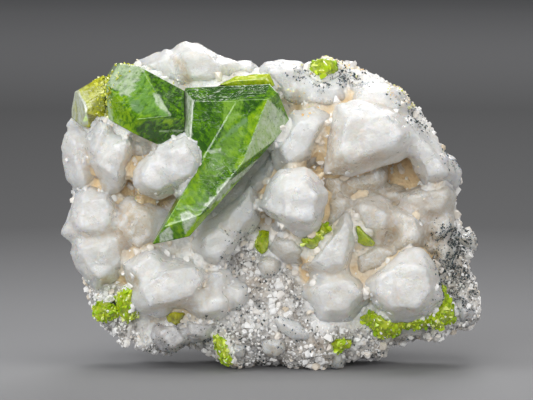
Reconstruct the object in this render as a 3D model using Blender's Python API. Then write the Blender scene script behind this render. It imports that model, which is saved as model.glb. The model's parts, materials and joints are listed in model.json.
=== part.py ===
"""Titanite on matrix: green titanite crystals and white feldspar grown on a lump of granular rock.

The specimen stands upright with its crystal face toward -Y. Lengths are in millimetres and become metres
when the meshes are made. Places on the crystal face are given as (u, v, y): u is how far right of the
middle and v how far above the ground a point is seen from the front, and y is its depth, negative toward
the front.
"""

import itertools
import math
import random
from collections import namedtuple

import bmesh
import bpy
import numpy
from mathutils import Matrix, Vector, geometry

MILLIMETRE = 0.001

# The front view that u and v are measured in: a little above level, from about a metre away
VIEW_TILT = math.radians(6)
VIEW_DISTANCE = 950
VIEW_MIDDLE = 41.25
AIM_HEIGHT = 40.1
VIEW_HALF_WIDTH = 60
VIEW_HEIGHT = 90

# The rock: how far apart the corners of its surfaces are, how far in from the rim they reach their full
# depth, and how far the blocks that it breaks into are apart and out of step
ROCK_MIDDLE = (0, 40)
RIM_RINGS = ((1, -3), (1.01, 2), (1, 8), (0.98, 14))
FRONT_SPACING = 5
BACK_SPACING = 6.8
FRONT_FULL_WITHIN = 8
BACK_FULL_WITHIN = 15
RIM_CLEARANCE = 3
RIM_STRAY = 1.2
RIM_NOTCH = 0.02
FOOT_FORWARD = 5
FOOT_HEIGHT = 25
LOOSENESS = 0.32
BLOCK_SPACING = 14
BLOCK_STEP = 2.3
BLOCK_SLOPE = 0.25
ROUGHNESS = 0.4
LUMP_RADIUS = (1.6, 3.2)
LUMP_COUNT = 18
LUMP_CORNERS = 10
GROUND_SIZE = 200
LUMP_SUNK = 1
ROUGHNESS_SEED = 7

# How crystals sit: how far they grow into each other, the gap to neighbours, how much their roots narrow
INTERGROWTH = 0.5
SOCKET_GAP = 0.3
ROOT_NARROWING = 0.78
SAME_FACE_TURN = math.radians(12)
FLAT = math.radians(0.2)
SAME_CORNER = 0.05
NEARLY_PARALLEL = 0.0001
MERGE_DISTANCE = 0.001

Crystal = namedtuple("Crystal", "front shoulder root crown outline")


def seen(u, v, y):
    """The point at depth y that is seen at (u, v) from the front."""
    aim = Vector((0, 0, AIM_HEIGHT))
    up = Vector((0, math.sin(VIEW_TILT), math.cos(VIEW_TILT)))
    eye = aim + VIEW_DISTANCE * Vector((0, -math.cos(VIEW_TILT), math.sin(VIEW_TILT)))
    ray = aim + Vector((u, 0, 0)) + (v - VIEW_MIDDLE) * up - eye
    return eye + ray * ((y - eye.y) / ray.y)


# Solids

def hull(points):
    """The convex solid around the points."""
    solid = bmesh.new()
    for point in points:
        solid.verts.new(point)
    bmesh.ops.remove_doubles(solid, verts=solid.verts[:], dist=SAME_CORNER)
    made = bmesh.ops.convex_hull(solid, input=solid.verts[:])
    left_over = set(made["geom_interior"] + made["geom_unused"])
    unused = [item for item in left_over if isinstance(item, bmesh.types.BMVert)]
    bmesh.ops.delete(solid, geom=unused, context="VERTS")
    bmesh.ops.dissolve_limit(solid, angle_limit=FLAT, verts=solid.verts[:], edges=solid.edges[:])
    bmesh.ops.recalc_face_normals(solid, faces=solid.faces[:])
    return solid


def hull_faces(points):
    """The faces of the convex solid around the points, each as a point on it and its outward direction."""
    solid = hull(points)
    solid.normal_update()
    faces = []
    for face in sorted(solid.faces, key=lambda item: -item.calc_area()):
        if any(face.normal.angle(normal) < SAME_FACE_TURN for _, normal in faces):
            continue
        outermost = max((vert.co for vert in face.verts), key=face.normal.dot)
        faces.append((outermost.copy(), face.normal.copy()))
    solid.free()
    return faces


def crystal_faces(crystal):
    """Faces of a crystal: its crown in front, its outline at the shoulder, narrower at the root."""
    middle = sum((Vector(point) for point in crystal.outline), Vector((0, 0))) / len(crystal.outline)
    arms = [Vector(point) - middle for point in crystal.outline]
    shoulder = [middle + arm + arm.normalized() * INTERGROWTH for arm in arms]
    root = [middle + arm * ROOT_NARROWING for arm in arms]
    points = [seen(u, v, crystal.front) for u, v in crystal.crown]
    points += [seen(u, v, crystal.shoulder) for u, v in shoulder]
    points += [seen(u, v, crystal.root) for u, v in root]
    return hull_faces(points)


def cut_faces(triples, inside):
    """Faces that each pass through three points, turned away from the point inside."""
    faces = []
    for triple in triples:
        a, b, c = (seen(*point) for point in triple)
        normal = (b - a).cross(c - a).normalized()
        if normal.dot(seen(*inside) - a) > 0:
            normal.negate()
        faces.append((a, normal))
    return faces


def bounded(faces, growth=0):
    """The convex solid that the faces bound, with every face moved out by the growth."""
    normals = numpy.array([normal for _, normal in faces])
    limits = numpy.array([point.dot(normal) + growth for point, normal in faces])
    triples = numpy.array(list(itertools.combinations(range(len(faces)), 3)))
    triples = triples[abs(numpy.linalg.det(normals[triples])) > NEARLY_PARALLEL]
    corners = numpy.linalg.solve(normals[triples], limits[triples][..., None])[..., 0]
    corners = corners[(corners @ normals.T <= limits + MERGE_DISTANCE).all(axis=1)]
    return hull([Vector(corner) for corner in corners])


def temporary(solid):
    """A mesh object that holds the solid, which is used up."""
    mesh = bpy.data.meshes.new("temporary")
    solid.to_mesh(mesh)
    solid.free()
    body = bpy.data.objects.new("temporary", mesh)
    bpy.context.scene.collection.objects.link(body)
    return body


def modified(body, tools=()):
    """The solid that the body's modifiers make; the body and the tools they use are removed."""
    result = bmesh.new()
    result.from_object(body, bpy.context.evaluated_depsgraph_get())
    for used in [body, *tools]:
        mesh = used.data
        bpy.data.objects.remove(used)
        bpy.data.meshes.remove(mesh)
    return result


def combined(solid, others, operation):
    """The solid after a union with the others, or a difference."""
    if not others:
        return solid
    body = temporary(solid)
    group = bpy.data.collections.new("temporary")
    bpy.context.scene.collection.children.link(group)
    for other in others:
        tool = temporary(other)
        bpy.context.scene.collection.objects.unlink(tool)
        group.objects.link(tool)
    modifier = body.modifiers.new("Boolean", "BOOLEAN")
    modifier.operation = operation
    modifier.solver = "EXACT"
    modifier.operand_type = "COLLECTION"
    modifier.collection = group
    result = modified(body, group.objects[:])
    bpy.data.collections.remove(group)
    return result


def reach(solid):
    """The lowest and highest corners of the solid's box."""
    places = numpy.array([vert.co for vert in solid.verts])
    return places.min(axis=0), places.max(axis=0)


def meets(box, other):
    """Whether two boxes touch."""
    return bool((box[0] <= other[1]).all() and (other[0] <= box[1]).all())


def only_largest(solid):
    """The solid without the small separate crumbs that cuts leave."""
    bodies = []
    waiting = set(solid.verts)
    while waiting:
        body = set()
        edge_of_search = [waiting.pop()]
        while edge_of_search:
            vert = edge_of_search.pop()
            body.add(vert)
            for edge in vert.link_edges:
                other = edge.other_vert(vert)
                if other in waiting:
                    waiting.remove(other)
                    edge_of_search.append(other)
        bodies.append(body)
    bodies.sort(key=len)
    crumbs = [vert for body in bodies[:-1] for vert in body]
    bmesh.ops.delete(solid, geom=crumbs, context="VERTS")
    return solid


def cleaned(solid):
    """The solid as clean triangles in one body."""
    bmesh.ops.remove_doubles(solid, verts=solid.verts[:], dist=MERGE_DISTANCE)
    bmesh.ops.dissolve_degenerate(solid, edges=solid.edges[:], dist=MERGE_DISTANCE)
    bmesh.ops.triangulate(solid, faces=solid.faces[:])
    only_largest(solid)
    bmesh.ops.recalc_face_normals(solid, faces=solid.faces[:])
    return solid


GREEN = ("titanite green", (0.13, 0.33, 0.02), 0.12)
OLIVE = ("titanite olive", (0.34, 0.36, 0.03), 0.2)
WHITE = ("feldspar white", (0.80, 0.78, 0.74), 0.4)
CREAM = ("feldspar cream", (0.72, 0.64, 0.50), 0.45)
GREY = ("rock grey white", (0.58, 0.58, 0.57), 0.8)

OLIVE_NODES = ("titanite_left_edge", "titanite_olive_low", "titanite_behind_top")
CREAM_NODES = (
    "feldspar_cream_block_middle", "feldspar_cream_block_left", "feldspar_cream_block_right",
    "feldspar_right_edge_high",
)


def surface_of(name):
    """What the node of this name is made of."""
    if name == "matrix":
        return GREY
    if name in OLIVE_NODES:
        return OLIVE
    if name in CREAM_NODES:
        return CREAM
    return GREEN if name.startswith("titanite") else WHITE


def material(name, colour, roughness):
    """A plain mineral surface, the same one for every node that has it."""
    if name in bpy.data.materials:
        return bpy.data.materials[name]
    made = bpy.data.materials.new(name)
    made.use_nodes = True
    shader = made.node_tree.nodes["Principled BSDF"]
    shader.inputs["Base Color"].default_value = (*colour, 1)
    shader.inputs["Roughness"].default_value = roughness
    shader.inputs["Metallic"].default_value = 0
    return made


def finish(solids):
    """The named objects of the finished solids, in metres, with the middle of them all over the origin."""
    boxes = [reach(solid) for solid in solids.values()]
    middle = (numpy.min([low for low, _ in boxes], axis=0) + numpy.max([high for _, high in boxes], axis=0)) / 2
    for name, solid in solids.items():
        bmesh.ops.translate(solid, vec=Vector((-middle[0], -middle[1], 0)), verts=solid.verts[:])
        bmesh.ops.scale(solid, vec=Vector((MILLIMETRE,) * 3), verts=solid.verts[:])
        mesh = bpy.data.meshes.new(name)
        solid.to_mesh(mesh)
        solid.free()
        mesh.materials.append(material(*surface_of(name)))
        bpy.context.scene.collection.objects.link(bpy.data.objects.new(name, mesh))


# Titanite: wedge-shaped green crystals with flat, sharp-edged faces

# Each triple is one face, read from the corners where it meets its neighbours
# The main crystal is a long blade, and a broad shoulder on its left that meets it at the blade's left edge
BLADE_INSIDE = (-8, 60, -12)
BLADE_FACES = [
    # front
    ((-19.25, 67.35, -17), (-0.5, 67.9, -18.95), (-17.3, 39, -26.4)),
    # right, pale
    ((-0.5, 67.9, -18.95), (-7, 51.7, -23.47), (4.85, 62.4, -13)),
    # lower right side
    ((1.5, 58, -15.8), (-7, 51.7, -23.47), (-17.3, 39, -26.4)),
    # top bevel
    ((-19.25, 67.35, -17), (-0.5, 67.9, -18.95), (-10, 71.6, -11)),
    # top
    ((-19.8, 70.75, -11), (-0.3, 71.5, -11.4), (-10, 70.25, 0)),
    # top right
    ((-0.3, 71.5, -11.4), (4.85, 62.4, -13), (0.5, 65.25, 0)),
    # left side
    ((-22.4, 43.1, -24.5), (-27.25, 34.85, -26.6), (-23.9, 41.75, -19)),
    # tip
    ((-25.3, 36.25, -26.4), (-18.15, 38.5, -26.5), (-24.5, 32.75, -25)),
    # under the tip
    ((-21.45, 33.5, -25), (-27.75, 32.1, -25.1), (-23.75, 35, -12)),
    # behind the right edge
    ((4.85, 62.4, -13), (-17.3, 37.05, -23.9), (-8.75, 51.5, 0)),
    # back
    ((-28.25, 32.5, -22.5), (-20.25, 67.75, -3), (3.75, 61.5, -3)),
]
SHOULDER_INSIDE = (-16, 62, -12)
SHOULDER_FACES = [
    # front
    ((-19.25, 67.35, -16.2), (-7.25, 67.35, -18.35), (-16.25, 50.75, -22.7)),
    # where it runs into the blade
    ((-7.25, 67.35, -18.35), (-16.25, 50.75, -22.7), (-6, 56, -8)),
    # top bevel
    ((-19.25, 67.35, -16.2), (-7.25, 67.35, -18.35), (-14, 71.3, -11)),
    # top
    ((-19.8, 70.75, -11), (-7, 71.2, -11.2), (-14, 70, 0)),
    # left bevel
    ((-19.25, 67.35, -16.2), (-20.1, 57.75, -19.4), (-21.2, 64, -13.5)),
    # left
    ((-21.2, 69.7, -11), (-21.2, 58, -11), (-21, 64, 2)),
    # underside, behind the rounded feldspar
    ((-20.1, 57.75, -19.4), (-16.25, 50.75, -22.7), (-18.5, 56, -6)),
    # back
    ((-20.25, 67.75, -3), (-8, 68, -3), (-16, 52, -9)),
]

UPPER_LEFT_TITANITE_INSIDE = (-31, 67, -7)
UPPER_LEFT_TITANITE_FACES = [
    # middle
    ((-40.9, 71.25, -14), (-32.75, 76, -12), (-24.9, 63.75, -18)),
    # right
    ((-32.75, 76, -12), (-24.9, 63.75, -18), (-21.6, 70, -12)),
    # lower
    ((-33.25, 62.9, -18.2), (-24.9, 63.75, -18), (-28, 56.9, -14)),
    # left
    ((-40.9, 71.25, -14), (-33.25, 62.9, -18.2), (-38.5, 61.4, -13)),
    # left edge
    ((-40.9, 71.25, -14), (-40.25, 63, -11.9), (-41.75, 67.25, 2)),
    # underside
    ((-40.25, 63, -11.9), (-30.5, 57.9, -14.9), (-32.5, 60.25, 0)),
    ((-28, 56.9, -14), (-21.5, 58, -14.1), (-25, 60.25, 0)),
    # top left
    ((-40.9, 71.25, -14), (-37.75, 76.9, -11.4), (-40, 74.75, 0)),
    # top
    ((-37.75, 76.9, -11.4), (-32.75, 76, -12), (-35, 75.75, 2)),
    # behind the upper right edge
    ((-32.75, 76, -12), (-21.6, 70, -12), (-27.5, 72.25, 2)),
    # right end
    ((-21.6, 70, -12), (-21.6, 58, -14), (-21.8, 64, 2)),
    # back
    ((-40, 60, 1), (-22, 60, 1), (-30, 74, 1)),
]

OLIVE_TITANITE_CORNERS = [
    (-48.7, 69.75, -8), (-49.5, 65.25, -6), (-49.4, 63.25, -6), (-46.75, 61.25, -10), (-48.1, 69.9, -9.5),
    (-46.5, 66.75, -12.5), (-45.9, 64.5, -13), (-45.5, 71, -8), (-43.25, 72.25, -7), (-41.6, 74, -6),
    (-41.4, 70.25, -11), (-41.5, 63.75, -10), (-42.25, 63.25, -10), (-45, 60.9, -10),
    (-47.5, 69, 1), (-42, 72, 1), (-42, 64, 1), (-47.5, 63.5, 1),
]

SMALL_TITANITES = {
    "titanite_behind_top": [Crystal(
        front=-10.5, shoulder=-9, root=2,
        crown=[(-9, 72.5), (-1.5, 73.25), (-1.5, 72.5)],
        outline=[(-12.25, 71.75), (-8, 73.5), (-0.5, 74.25), (0.75, 71.5), (-2, 70.75), (-9, 70.75)],
    )],
    "titanite_top": [Crystal(
        front=-8, shoulder=-4, root=5,
        crown=[(12, 75.25), (14.25, 75.5), (13.25, 73.75)],
        outline=[
            (10.5, 76.75), (12.75, 77.75), (15.75, 77.25), (16.75, 75.5), (15, 73.5), (13, 72.25),
            (10.5, 74.5),
        ],
    )],
    "titanite_middle_left": [Crystal(
        front=-13, shoulder=-10, root=0,
        crown=[(-1.5, 32.75), (-0.5, 31.25)],
        outline=[(-3.75, 32.5), (-2, 34.75), (1.25, 34.25), (1, 30.5), (-2.5, 28.5)],
    )],
    "titanite_below_pointed": [Crystal(
        front=-18, shoulder=-14, root=0,
        crown=[(9, 32.75), (13, 34.5), (11.5, 32)],
        outline=[
            (5.5, 34.75), (8, 33.75), (10.5, 34.5), (12.5, 36.75), (15.75, 35.25), (14, 32.5),
            (11.75, 30.25),
            (9.5, 31.25), (7.25, 32.75),
        ],
    )],
    "titanite_blade": [Crystal(
        front=-18, shoulder=-15.5, root=-2,
        crown=[(21.75, 35.75), (25.25, 32.25)],
        outline=[(21.5, 36.5), (22.75, 35.75), (26, 32.25), (25.25, 31.5), (23.5, 31.75), (21.5, 32.75)],
    )],
    "titanite_low_left": [Crystal(
        front=-15, shoulder=-11, root=-1,
        crown=[(-36.75, 17.75), (-35, 19), (-35.25, 15.25)],
        outline=[
            (-38.25, 18.25), (-36, 20.5), (-33.75, 20), (-34, 17), (-33, 14.5), (-35.5, 12.5),
            (-37.5, 14.75),
        ],
    )],
    "titanite_low_left_edge": [Crystal(
        front=-12, shoulder=-9, root=0,
        crown=[(-42, 15.5), (-39.25, 14.5)],
        outline=[(-44, 14.75), (-42.75, 17), (-40.5, 16.75), (-37.9, 14.5), (-39, 13.25), (-42.5, 12.75)],
    )],
    "titanite_olive_low": [Crystal(
        front=-15.5, shoulder=-12.5, root=-2,
        crown=[(-23.75, 14.25), (-23.5, 13)],
        outline=[
            (-26.25, 14.75), (-24, 15.75), (-21.25, 14.5), (-22.25, 12.25), (-23.75, 11.5),
            (-25, 12.75),
        ],
    )],
    "titanite_chips_bottom": [Crystal(
        front=-15, shoulder=-12.5, root=-4,
        crown=[(-12.75, 7), (-11.25, 3.5)],
        outline=[(-13.75, 8.25), (-12.75, 8.5), (-11, 6), (-10, 3.75), (-10, 2), (-11.5, 2), (-13.5, 6)],
    )],
    "titanite_chip_right": [Crystal(
        front=-15, shoulder=-12.5, root=-4,
        crown=[(17.5, 6.75)],
        outline=[(15, 6.75), (17, 8.25), (20, 7.5), (19.5, 6.25), (17, 5.25)],
    )],
    "titanite_band_low_right": [
        Crystal(
            front=-13, shoulder=-10, root=-1,
            crown=[(42.75, 18.5), (44, 14.75)],
            outline=[
                (41.5, 17.75), (42.75, 21.5), (44.25, 18.5), (45.5, 15.75), (46.25, 12.75),
                (43.75, 12.25),
                (41.5, 14.75),
            ],
        ),
        Crystal(
            front=-15, shoulder=-12, root=-2,
            crown=[(41, 14), (41.75, 12.5)],
            outline=[(37.5, 13.75), (41, 16), (44, 13.25), (42.5, 10.75), (38.75, 12)],
        ),
        Crystal(
            front=-16, shoulder=-13, root=-4,
            crown=[(35, 12.75), (37.5, 12.25)],
            outline=[(31.5, 12.75), (35.5, 13.5), (39.5, 13.25), (40, 11.5), (35.5, 11), (31.5, 11)],
        ),
        Crystal(
            front=-16, shoulder=-12, root=-3,
            crown=[(26.5, 13.25), (29.5, 12.25), (29, 10.25)],
            outline=[
                (24.5, 15), (28, 15), (31.5, 13.25), (33.5, 12.25), (32, 9.5), (27.5, 8.75), (25, 11.25),
                (22.5, 13.25),
            ],
        ),
    ],
}


# Feldspar: blocky white crystals, intergrown in clusters, the ones nearest the front first

FELDSPAR_CLUSTERS = {
    "feldspar_rounded_pair": [
        Crystal(
            front=-23, shoulder=-16, root=0,
            crown=[(-32, 47.75), (-30, 52), (-26.25, 52.75), (-24.5, 47.75), (-28.25, 45.25)],
            outline=[
                (-34, 46.75), (-33.25, 50), (-31.25, 53), (-29.5, 54.5), (-26, 55.25), (-22.5, 51.5),
                (-21.25, 47.75), (-23.75, 44.75), (-28, 43.5), (-32.5, 44.75),
            ],
        ),
        Crystal(
            front=-25, shoulder=-20.5, root=-2,
            crown=[(-24.5, 54.75), (-21, 56.25), (-18.75, 52.75), (-20, 49.25), (-24, 47.75)],
            outline=[
                (-28.25, 54.75), (-23.75, 57), (-21, 58), (-19.25, 56.5), (-17.25, 53.75),
                (-16.75, 51.75),
                (-17.5, 49.5), (-19.5, 47.5), (-23, 45.5), (-26.25, 47.75),
            ],
        ),
    ],
    "feldspar_pointed": [Crystal(
        front=-26, shoulder=-18, root=0,
        crown=[(3.75, 45.25), (8.75, 47.75), (11.5, 43.5), (10.5, 37.75), (3.75, 39)],
        outline=[
            (2.25, 50), (8.5, 50.75), (11.25, 48.5), (14, 44.5), (13.5, 42.25), (13, 38.75),
            (11.75, 36.25),
            (9.5, 34.25), (7.25, 34), (4.75, 35.5), (2, 37.5), (-2.5, 41.25), (-0.5, 46.5),
        ],
    )],
    "feldspar_large_low_right": [Crystal(
        front=-24, shoulder=-16, root=1,
        crown=[
            (27.5, 23), (33, 26.5), (38.75, 25.25), (40, 19.75), (36.25, 15.75), (30.5, 16.25),
            (27, 19.5),
        ],
        outline=[
            (33, 29.5), (36, 30.25), (38.5, 29.25), (40.75, 26.75), (42.25, 20.5), (42.5, 18),
            (40.75, 16),
            (38.25, 14.25), (34.25, 12.75), (31.25, 13), (27, 16.5), (24.25, 20.5), (24.5, 22.5),
            (30.25, 27.25),
        ],
    )],
    "feldspar_low_left": [
        Crystal(
            front=-21, shoulder=-14, root=0,
            crown=[
                (-31.75, 19.75), (-26.25, 24.75), (-19.5, 26), (-17.5, 22.75), (-19.5, 18.75), (-30, 16.25),
            ],
            outline=[
                (-33.75, 20.25), (-31, 23), (-24.5, 27.75), (-20, 27.5), (-16.25, 25.75), (-15.5, 23.75),
                (-16, 19.75), (-17.75, 17.5), (-24.5, 15.25), (-30, 14.25), (-32, 14.5), (-34, 17.25),
            ],
        ),
        Crystal(
            front=-18, shoulder=-12, root=0,
            crown=[(-34.25, 25.75), (-30, 28.75), (-27.5, 26.75), (-32, 22.75)],
            outline=[
                (-36.25, 26), (-34.5, 27.75), (-31.5, 30.25), (-28.75, 30.75), (-24.75, 27.5),
                (-27.5, 23.75),
                (-30.5, 21.75), (-33.75, 20.25), (-35.5, 22.5),
            ],
        ),
        Crystal(
            front=-20, shoulder=-15, root=-1,
            crown=[(-14.5, 18), (-12, 17.5), (-12, 15.5), (-15.5, 15)],
            outline=[
                (-15.75, 19.25), (-12.5, 20), (-10.25, 18), (-10.5, 15), (-13, 13), (-17.5, 13.75),
                (-20.5, 15.25), (-17.75, 17.75),
            ],
        ),
        Crystal(
            front=-17, shoulder=-13, root=-1,
            crown=[(-14.5, 24.5), (-12, 24.5), (-11.5, 21.75), (-14.25, 20.75)],
            outline=[
                (-16.25, 25.5), (-12.5, 26), (-10.25, 24.75), (-10.25, 21.5), (-12, 19.5), (-16, 19.5),
            ],
        ),
        Crystal(
            front=-16, shoulder=-12, root=-1,
            crown=[(-9.25, 20.75), (-7, 20), (-8, 17)],
            outline=[
                (-10.5, 21.75), (-8.5, 23), (-5.5, 20.75), (-5.75, 18.25), (-7.75, 15.25), (-11, 15.25),
                (-11.25, 18.5),
            ],
        ),
    ],
    "feldspar_slanted": [
        Crystal(
            front=-21, shoulder=-13, root=0,
            crown=[(18.75, 36.75), (20, 34.5), (18, 27.25), (14, 25.75), (11.5, 27.75), (16.25, 33.75)],
            outline=[
                (15.75, 35.25), (19.5, 39.5), (21.5, 37), (21.75, 33.75), (21, 30), (19.75, 25.25),
                (17, 22.5),
                (12.5, 23.25), (8.25, 26), (12.5, 30.75),
            ],
        ),
        Crystal(
            front=-19, shoulder=-13, root=0,
            crown=[(12, 20.75), (18.75, 22.75), (22.5, 19.75), (18.75, 15.25), (13.75, 15)],
            outline=[
                (8.75, 21), (11, 23.25), (19.25, 25), (22.5, 22.75), (24.5, 21.25), (25, 18.25),
                (22.75, 16),
                (20, 13), (15.5, 12.5), (12.25, 13), (8.25, 19.25),
            ],
        ),
        Crystal(
            front=-10, shoulder=-8, root=2,
            crown=[(8, 29.5), (9.5, 29.5)],
            outline=[(6.5, 30.75), (9, 31), (12, 30.25), (9.5, 26.25), (8.25, 25.25), (7.25, 27.25)],
        ),
    ],
    "feldspar_arch": [
        Crystal(
            front=-22, shoulder=-14, root=4,
            crown=[(19.5, 63.25), (28.75, 63.75), (33.25, 59.5), (30.5, 56.25), (20, 52.75), (17.5, 55.25)],
            outline=[
                (16.75, 66), (20.5, 67), (24, 67), (31.5, 64.75), (35.5, 61.25), (37.5, 57.75),
                (33.75, 53.5),
                (25.5, 51), (18.25, 49.25), (13.75, 49.5), (13.75, 53.25), (16, 56.5), (17, 60.75),
            ],
        ),
        Crystal(
            front=-17, shoulder=-10, root=4,
            crown=[(35.5, 60.25), (40.5, 54.75), (43.5, 49.75), (40, 48.75), (37, 55.25)],
            outline=[
                (31.5, 64.75), (35.5, 63.25), (39, 59.5), (42.5, 55.25), (45, 52.25), (46.25, 49),
                (42.5, 46.75),
                (38.5, 46.75), (37.5, 49.25), (35, 53.5),
            ],
        ),
        Crystal(
            front=-11, shoulder=-6, root=5,
            crown=[(42.5, 51.5), (45.5, 50.25), (45, 47.75), (41, 47.5)],
            outline=[
                (40, 52.75), (43.75, 54.5), (46.25, 52.75), (47.25, 49.75), (47.25, 47.25), (46.25, 46),
                (42.5, 45.75), (38.5, 46.25),
            ],
        ),
        Crystal(
            front=-12, shoulder=-5, root=6,
            crown=[(22.5, 69.5), (30, 69.5), (33, 66.5), (25, 67.75)],
            outline=[(20, 71.5), (28.75, 71.75), (33, 69.75), (36.5, 65.25), (31.5, 62.75), (18.75, 65)],
        ),
    ],
    "feldspar_hollow": [
        Crystal(
            front=-17, shoulder=-11, root=1,
            crown=[(23, 40.5), (26.5, 41.25), (29, 39), (28, 35.75), (24, 35.75)],
            outline=[
                (19.75, 41), (21.5, 42.25), (24, 43), (27, 43), (29, 42), (31, 39.5), (31.25, 37.5),
                (28.25, 33.5), (25.25, 32.5), (22.75, 33.75), (20, 38.75),
            ],
        ),
        Crystal(
            front=-13, shoulder=-8, root=5,
            crown=[(34.5, 43.25), (38.75, 44.75), (43.75, 44.75), (42.5, 40.75), (38, 40.5)],
            outline=[
                (32.25, 42.5), (33.25, 44.75), (37.75, 46.25), (44, 46.5), (46.5, 43.5), (44.5, 40),
                (42, 38),
                (38.75, 38.75), (35.25, 40.25),
            ],
        ),
        Crystal(
            front=-16, shoulder=-11, root=2,
            crown=[(33.5, 38.75), (36.25, 38), (36.75, 34.75), (33.5, 32.5)],
            outline=[
                (31, 40.5), (34, 40.75), (36.5, 40), (39.25, 37.75), (38.75, 34.5), (37.25, 31.25),
                (35, 30.25),
                (32.75, 30.25), (31, 31.75), (30.5, 35.75),
            ],
        ),
        Crystal(
            front=-8, shoulder=-5, root=4,
            crown=[(29, 44.25), (31.5, 44.5), (30.75, 42.25)],
            outline=[
                (26, 43), (28.25, 45.5), (33, 46), (33.25, 44.5), (32.25, 42.5), (31, 40.25), (29, 41),
            ],
        ),
        Crystal(
            front=-11, shoulder=-7, root=4,
            crown=[(42, 36.75), (44.75, 38.25), (45, 35.75), (42, 34)],
            outline=[
                (38.5, 37.25), (42, 38.5), (44.75, 40), (46.25, 38), (46.75, 35.5), (44, 33.25),
                (41.5, 32.25),
                (39, 34.25),
            ],
        ),
        Crystal(
            front=-10, shoulder=-8, root=3,
            crown=[(38.75, 32), (39.75, 31)],
            outline=[(36.75, 32.75), (39, 35), (41.25, 33.5), (41.5, 30), (39.5, 28.75), (37.25, 30)],
        ),
        Crystal(
            front=-10, shoulder=-6, root=4,
            crown=[(42, 30.5), (44, 31), (43.5, 27.25)],
            outline=[
                (40, 29.25), (41.5, 32.75), (44.5, 34), (45.75, 30.25), (45, 26.5), (42.5, 24.75),
                (41, 26.75),
            ],
        ),
        Crystal(
            front=-15, shoulder=-10, root=1,
            crown=[(22.5, 28.75), (27, 30.25), (30, 29.5), (27, 25.75), (23, 25.25)],
            outline=[
                (20.25, 28), (20.75, 30.75), (23.25, 31.5), (26.75, 32), (31.5, 31.5), (33.25, 29.75),
                (30.25, 27), (28, 24.5), (24, 22.25), (19.5, 24.75),
            ],
        ),
        Crystal(
            front=-11, shoulder=-8, root=3,
            crown=[(29.5, 33), (29, 32.5)],
            outline=[(25.25, 33.25), (28.25, 34.5), (31.5, 36.75), (32.5, 31.5), (26.75, 30.25)],
        ),
        Crystal(
            front=-14, shoulder=-10, root=1,
            crown=[(15.25, 42.25), (18.5, 42), (18.25, 39.5), (15.5, 37.25)],
            outline=[
                (14.25, 43.5), (19.5, 43.5), (20.75, 39.75), (17.5, 36.25), (15.75, 35), (13, 37.25),
                (13.5, 41.5),
            ],
        ),
        Crystal(
            front=-12, shoulder=-8, root=2,
            crown=[(14, 48), (17, 47.75), (17.5, 45.25), (15.25, 44.75)],
            outline=[
                (12, 48.75), (14, 49.75), (17.25, 49.25), (19.25, 47), (19, 44.25), (16, 43),
                (14.25, 43.5),
            ],
        ),
        Crystal(
            front=-10, shoulder=-6, root=4,
            crown=[(20.5, 49), (26.75, 50), (26.25, 47.25), (21.25, 46.25)],
            outline=[
                (18.25, 49.5), (22, 50.5), (28.5, 51.5), (28.25, 47.75), (25.75, 45.25), (21, 44.5),
                (18.25, 45.5),
            ],
        ),
    ],
    "feldspar_below_tip": [
        Crystal(
            front=-19, shoulder=-13, root=0,
            crown=[(-16.25, 33.25), (-13, 35.75), (-9.5, 32.75), (-13, 28.25), (-16, 29.25)],
            outline=[
                (-19.5, 32.5), (-16.75, 36), (-13.25, 38.5), (-9.5, 36.25), (-7, 33.5), (-9.5, 29.75),
                (-11.5, 27), (-13.25, 25.75), (-16.75, 26.75), (-18.75, 29.75),
            ],
        ),
        Crystal(
            front=-17, shoulder=-12, root=0,
            crown=[(-10.5, 37.75), (-5.75, 43.25), (-4.5, 39.75), (-8, 34.75)],
            outline=[
                (-13.25, 38.5), (-8.75, 42.5), (-4.75, 46.25), (-2.75, 42.75), (-3, 37.75), (-5.5, 34.75),
                (-8.75, 32.25), (-12, 33.25),
            ],
        ),
        Crystal(
            front=-10, shoulder=-7, root=3,
            crown=[(-2, 47.75), (0.5, 51.5), (0, 48.25)],
            outline=[
                (-6, 46.25), (-2, 50.25), (0.5, 54), (2.5, 50.75), (1.25, 48.25), (-0.5, 46), (-2, 42),
                (-4, 41.5),
            ],
        ),
    ],
    "feldspar_left": [
        Crystal(
            front=-14, shoulder=-7, root=4,
            crown=[(-47, 42.75), (-41.25, 43.25), (-39.5, 40.75), (-41.5, 34.75), (-47, 35.75)],
            outline=[
                (-48.5, 44), (-45.5, 45.5), (-42.25, 45.5), (-40, 45), (-38, 42), (-38.75, 38.5),
                (-40, 35.5),
                (-39.25, 33), (-43.75, 32), (-49, 32.5), (-52, 34.5), (-49.25, 41.25),
            ],
        ),
        Crystal(
            front=-13, shoulder=-7, root=4,
            crown=[(-47, 30.75), (-38, 32.75), (-37.5, 27.25), (-42.5, 23.25), (-45.5, 25.75)],
            outline=[
                (-49, 32.5), (-43.75, 33.25), (-38.75, 35.25), (-35.75, 32.75), (-35, 29.5), (-36, 26.25),
                (-36.75, 23), (-40.25, 22.25), (-43.5, 20.75), (-46, 22.5), (-47.5, 26.25), (-49.5, 29.5),
            ],
        ),
        Crystal(
            front=-14, shoulder=-10, root=2,
            crown=[(-33.75, 41.5), (-30, 39), (-30, 34), (-33, 31.5), (-37.5, 36.25)],
            outline=[
                (-35, 43.25), (-33.25, 43.5), (-31, 41.25), (-26, 40), (-27, 36.25), (-28.5, 32.75),
                (-30, 30.5), (-32.25, 29.5), (-35.75, 31), (-39.25, 35.5), (-38.75, 38.5), (-37, 41),
            ],
        ),
    ],
    "feldspar_upper_left": [
        Crystal(
            front=-17, shoulder=-11, root=2,
            crown=[(-42.5, 51.5), (-39.25, 56.5), (-36, 57.25), (-38, 48.25)],
            outline=[
                (-44.5, 52), (-43, 53.5), (-39.75, 58.25), (-38.5, 59.25), (-35, 58.25), (-34.5, 55.25),
                (-34.75, 52.75), (-36, 49), (-37.75, 45.25), (-40, 44.75), (-42.25, 47.75),
            ],
        ),
        Crystal(
            front=-15, shoulder=-10, root=2,
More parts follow.
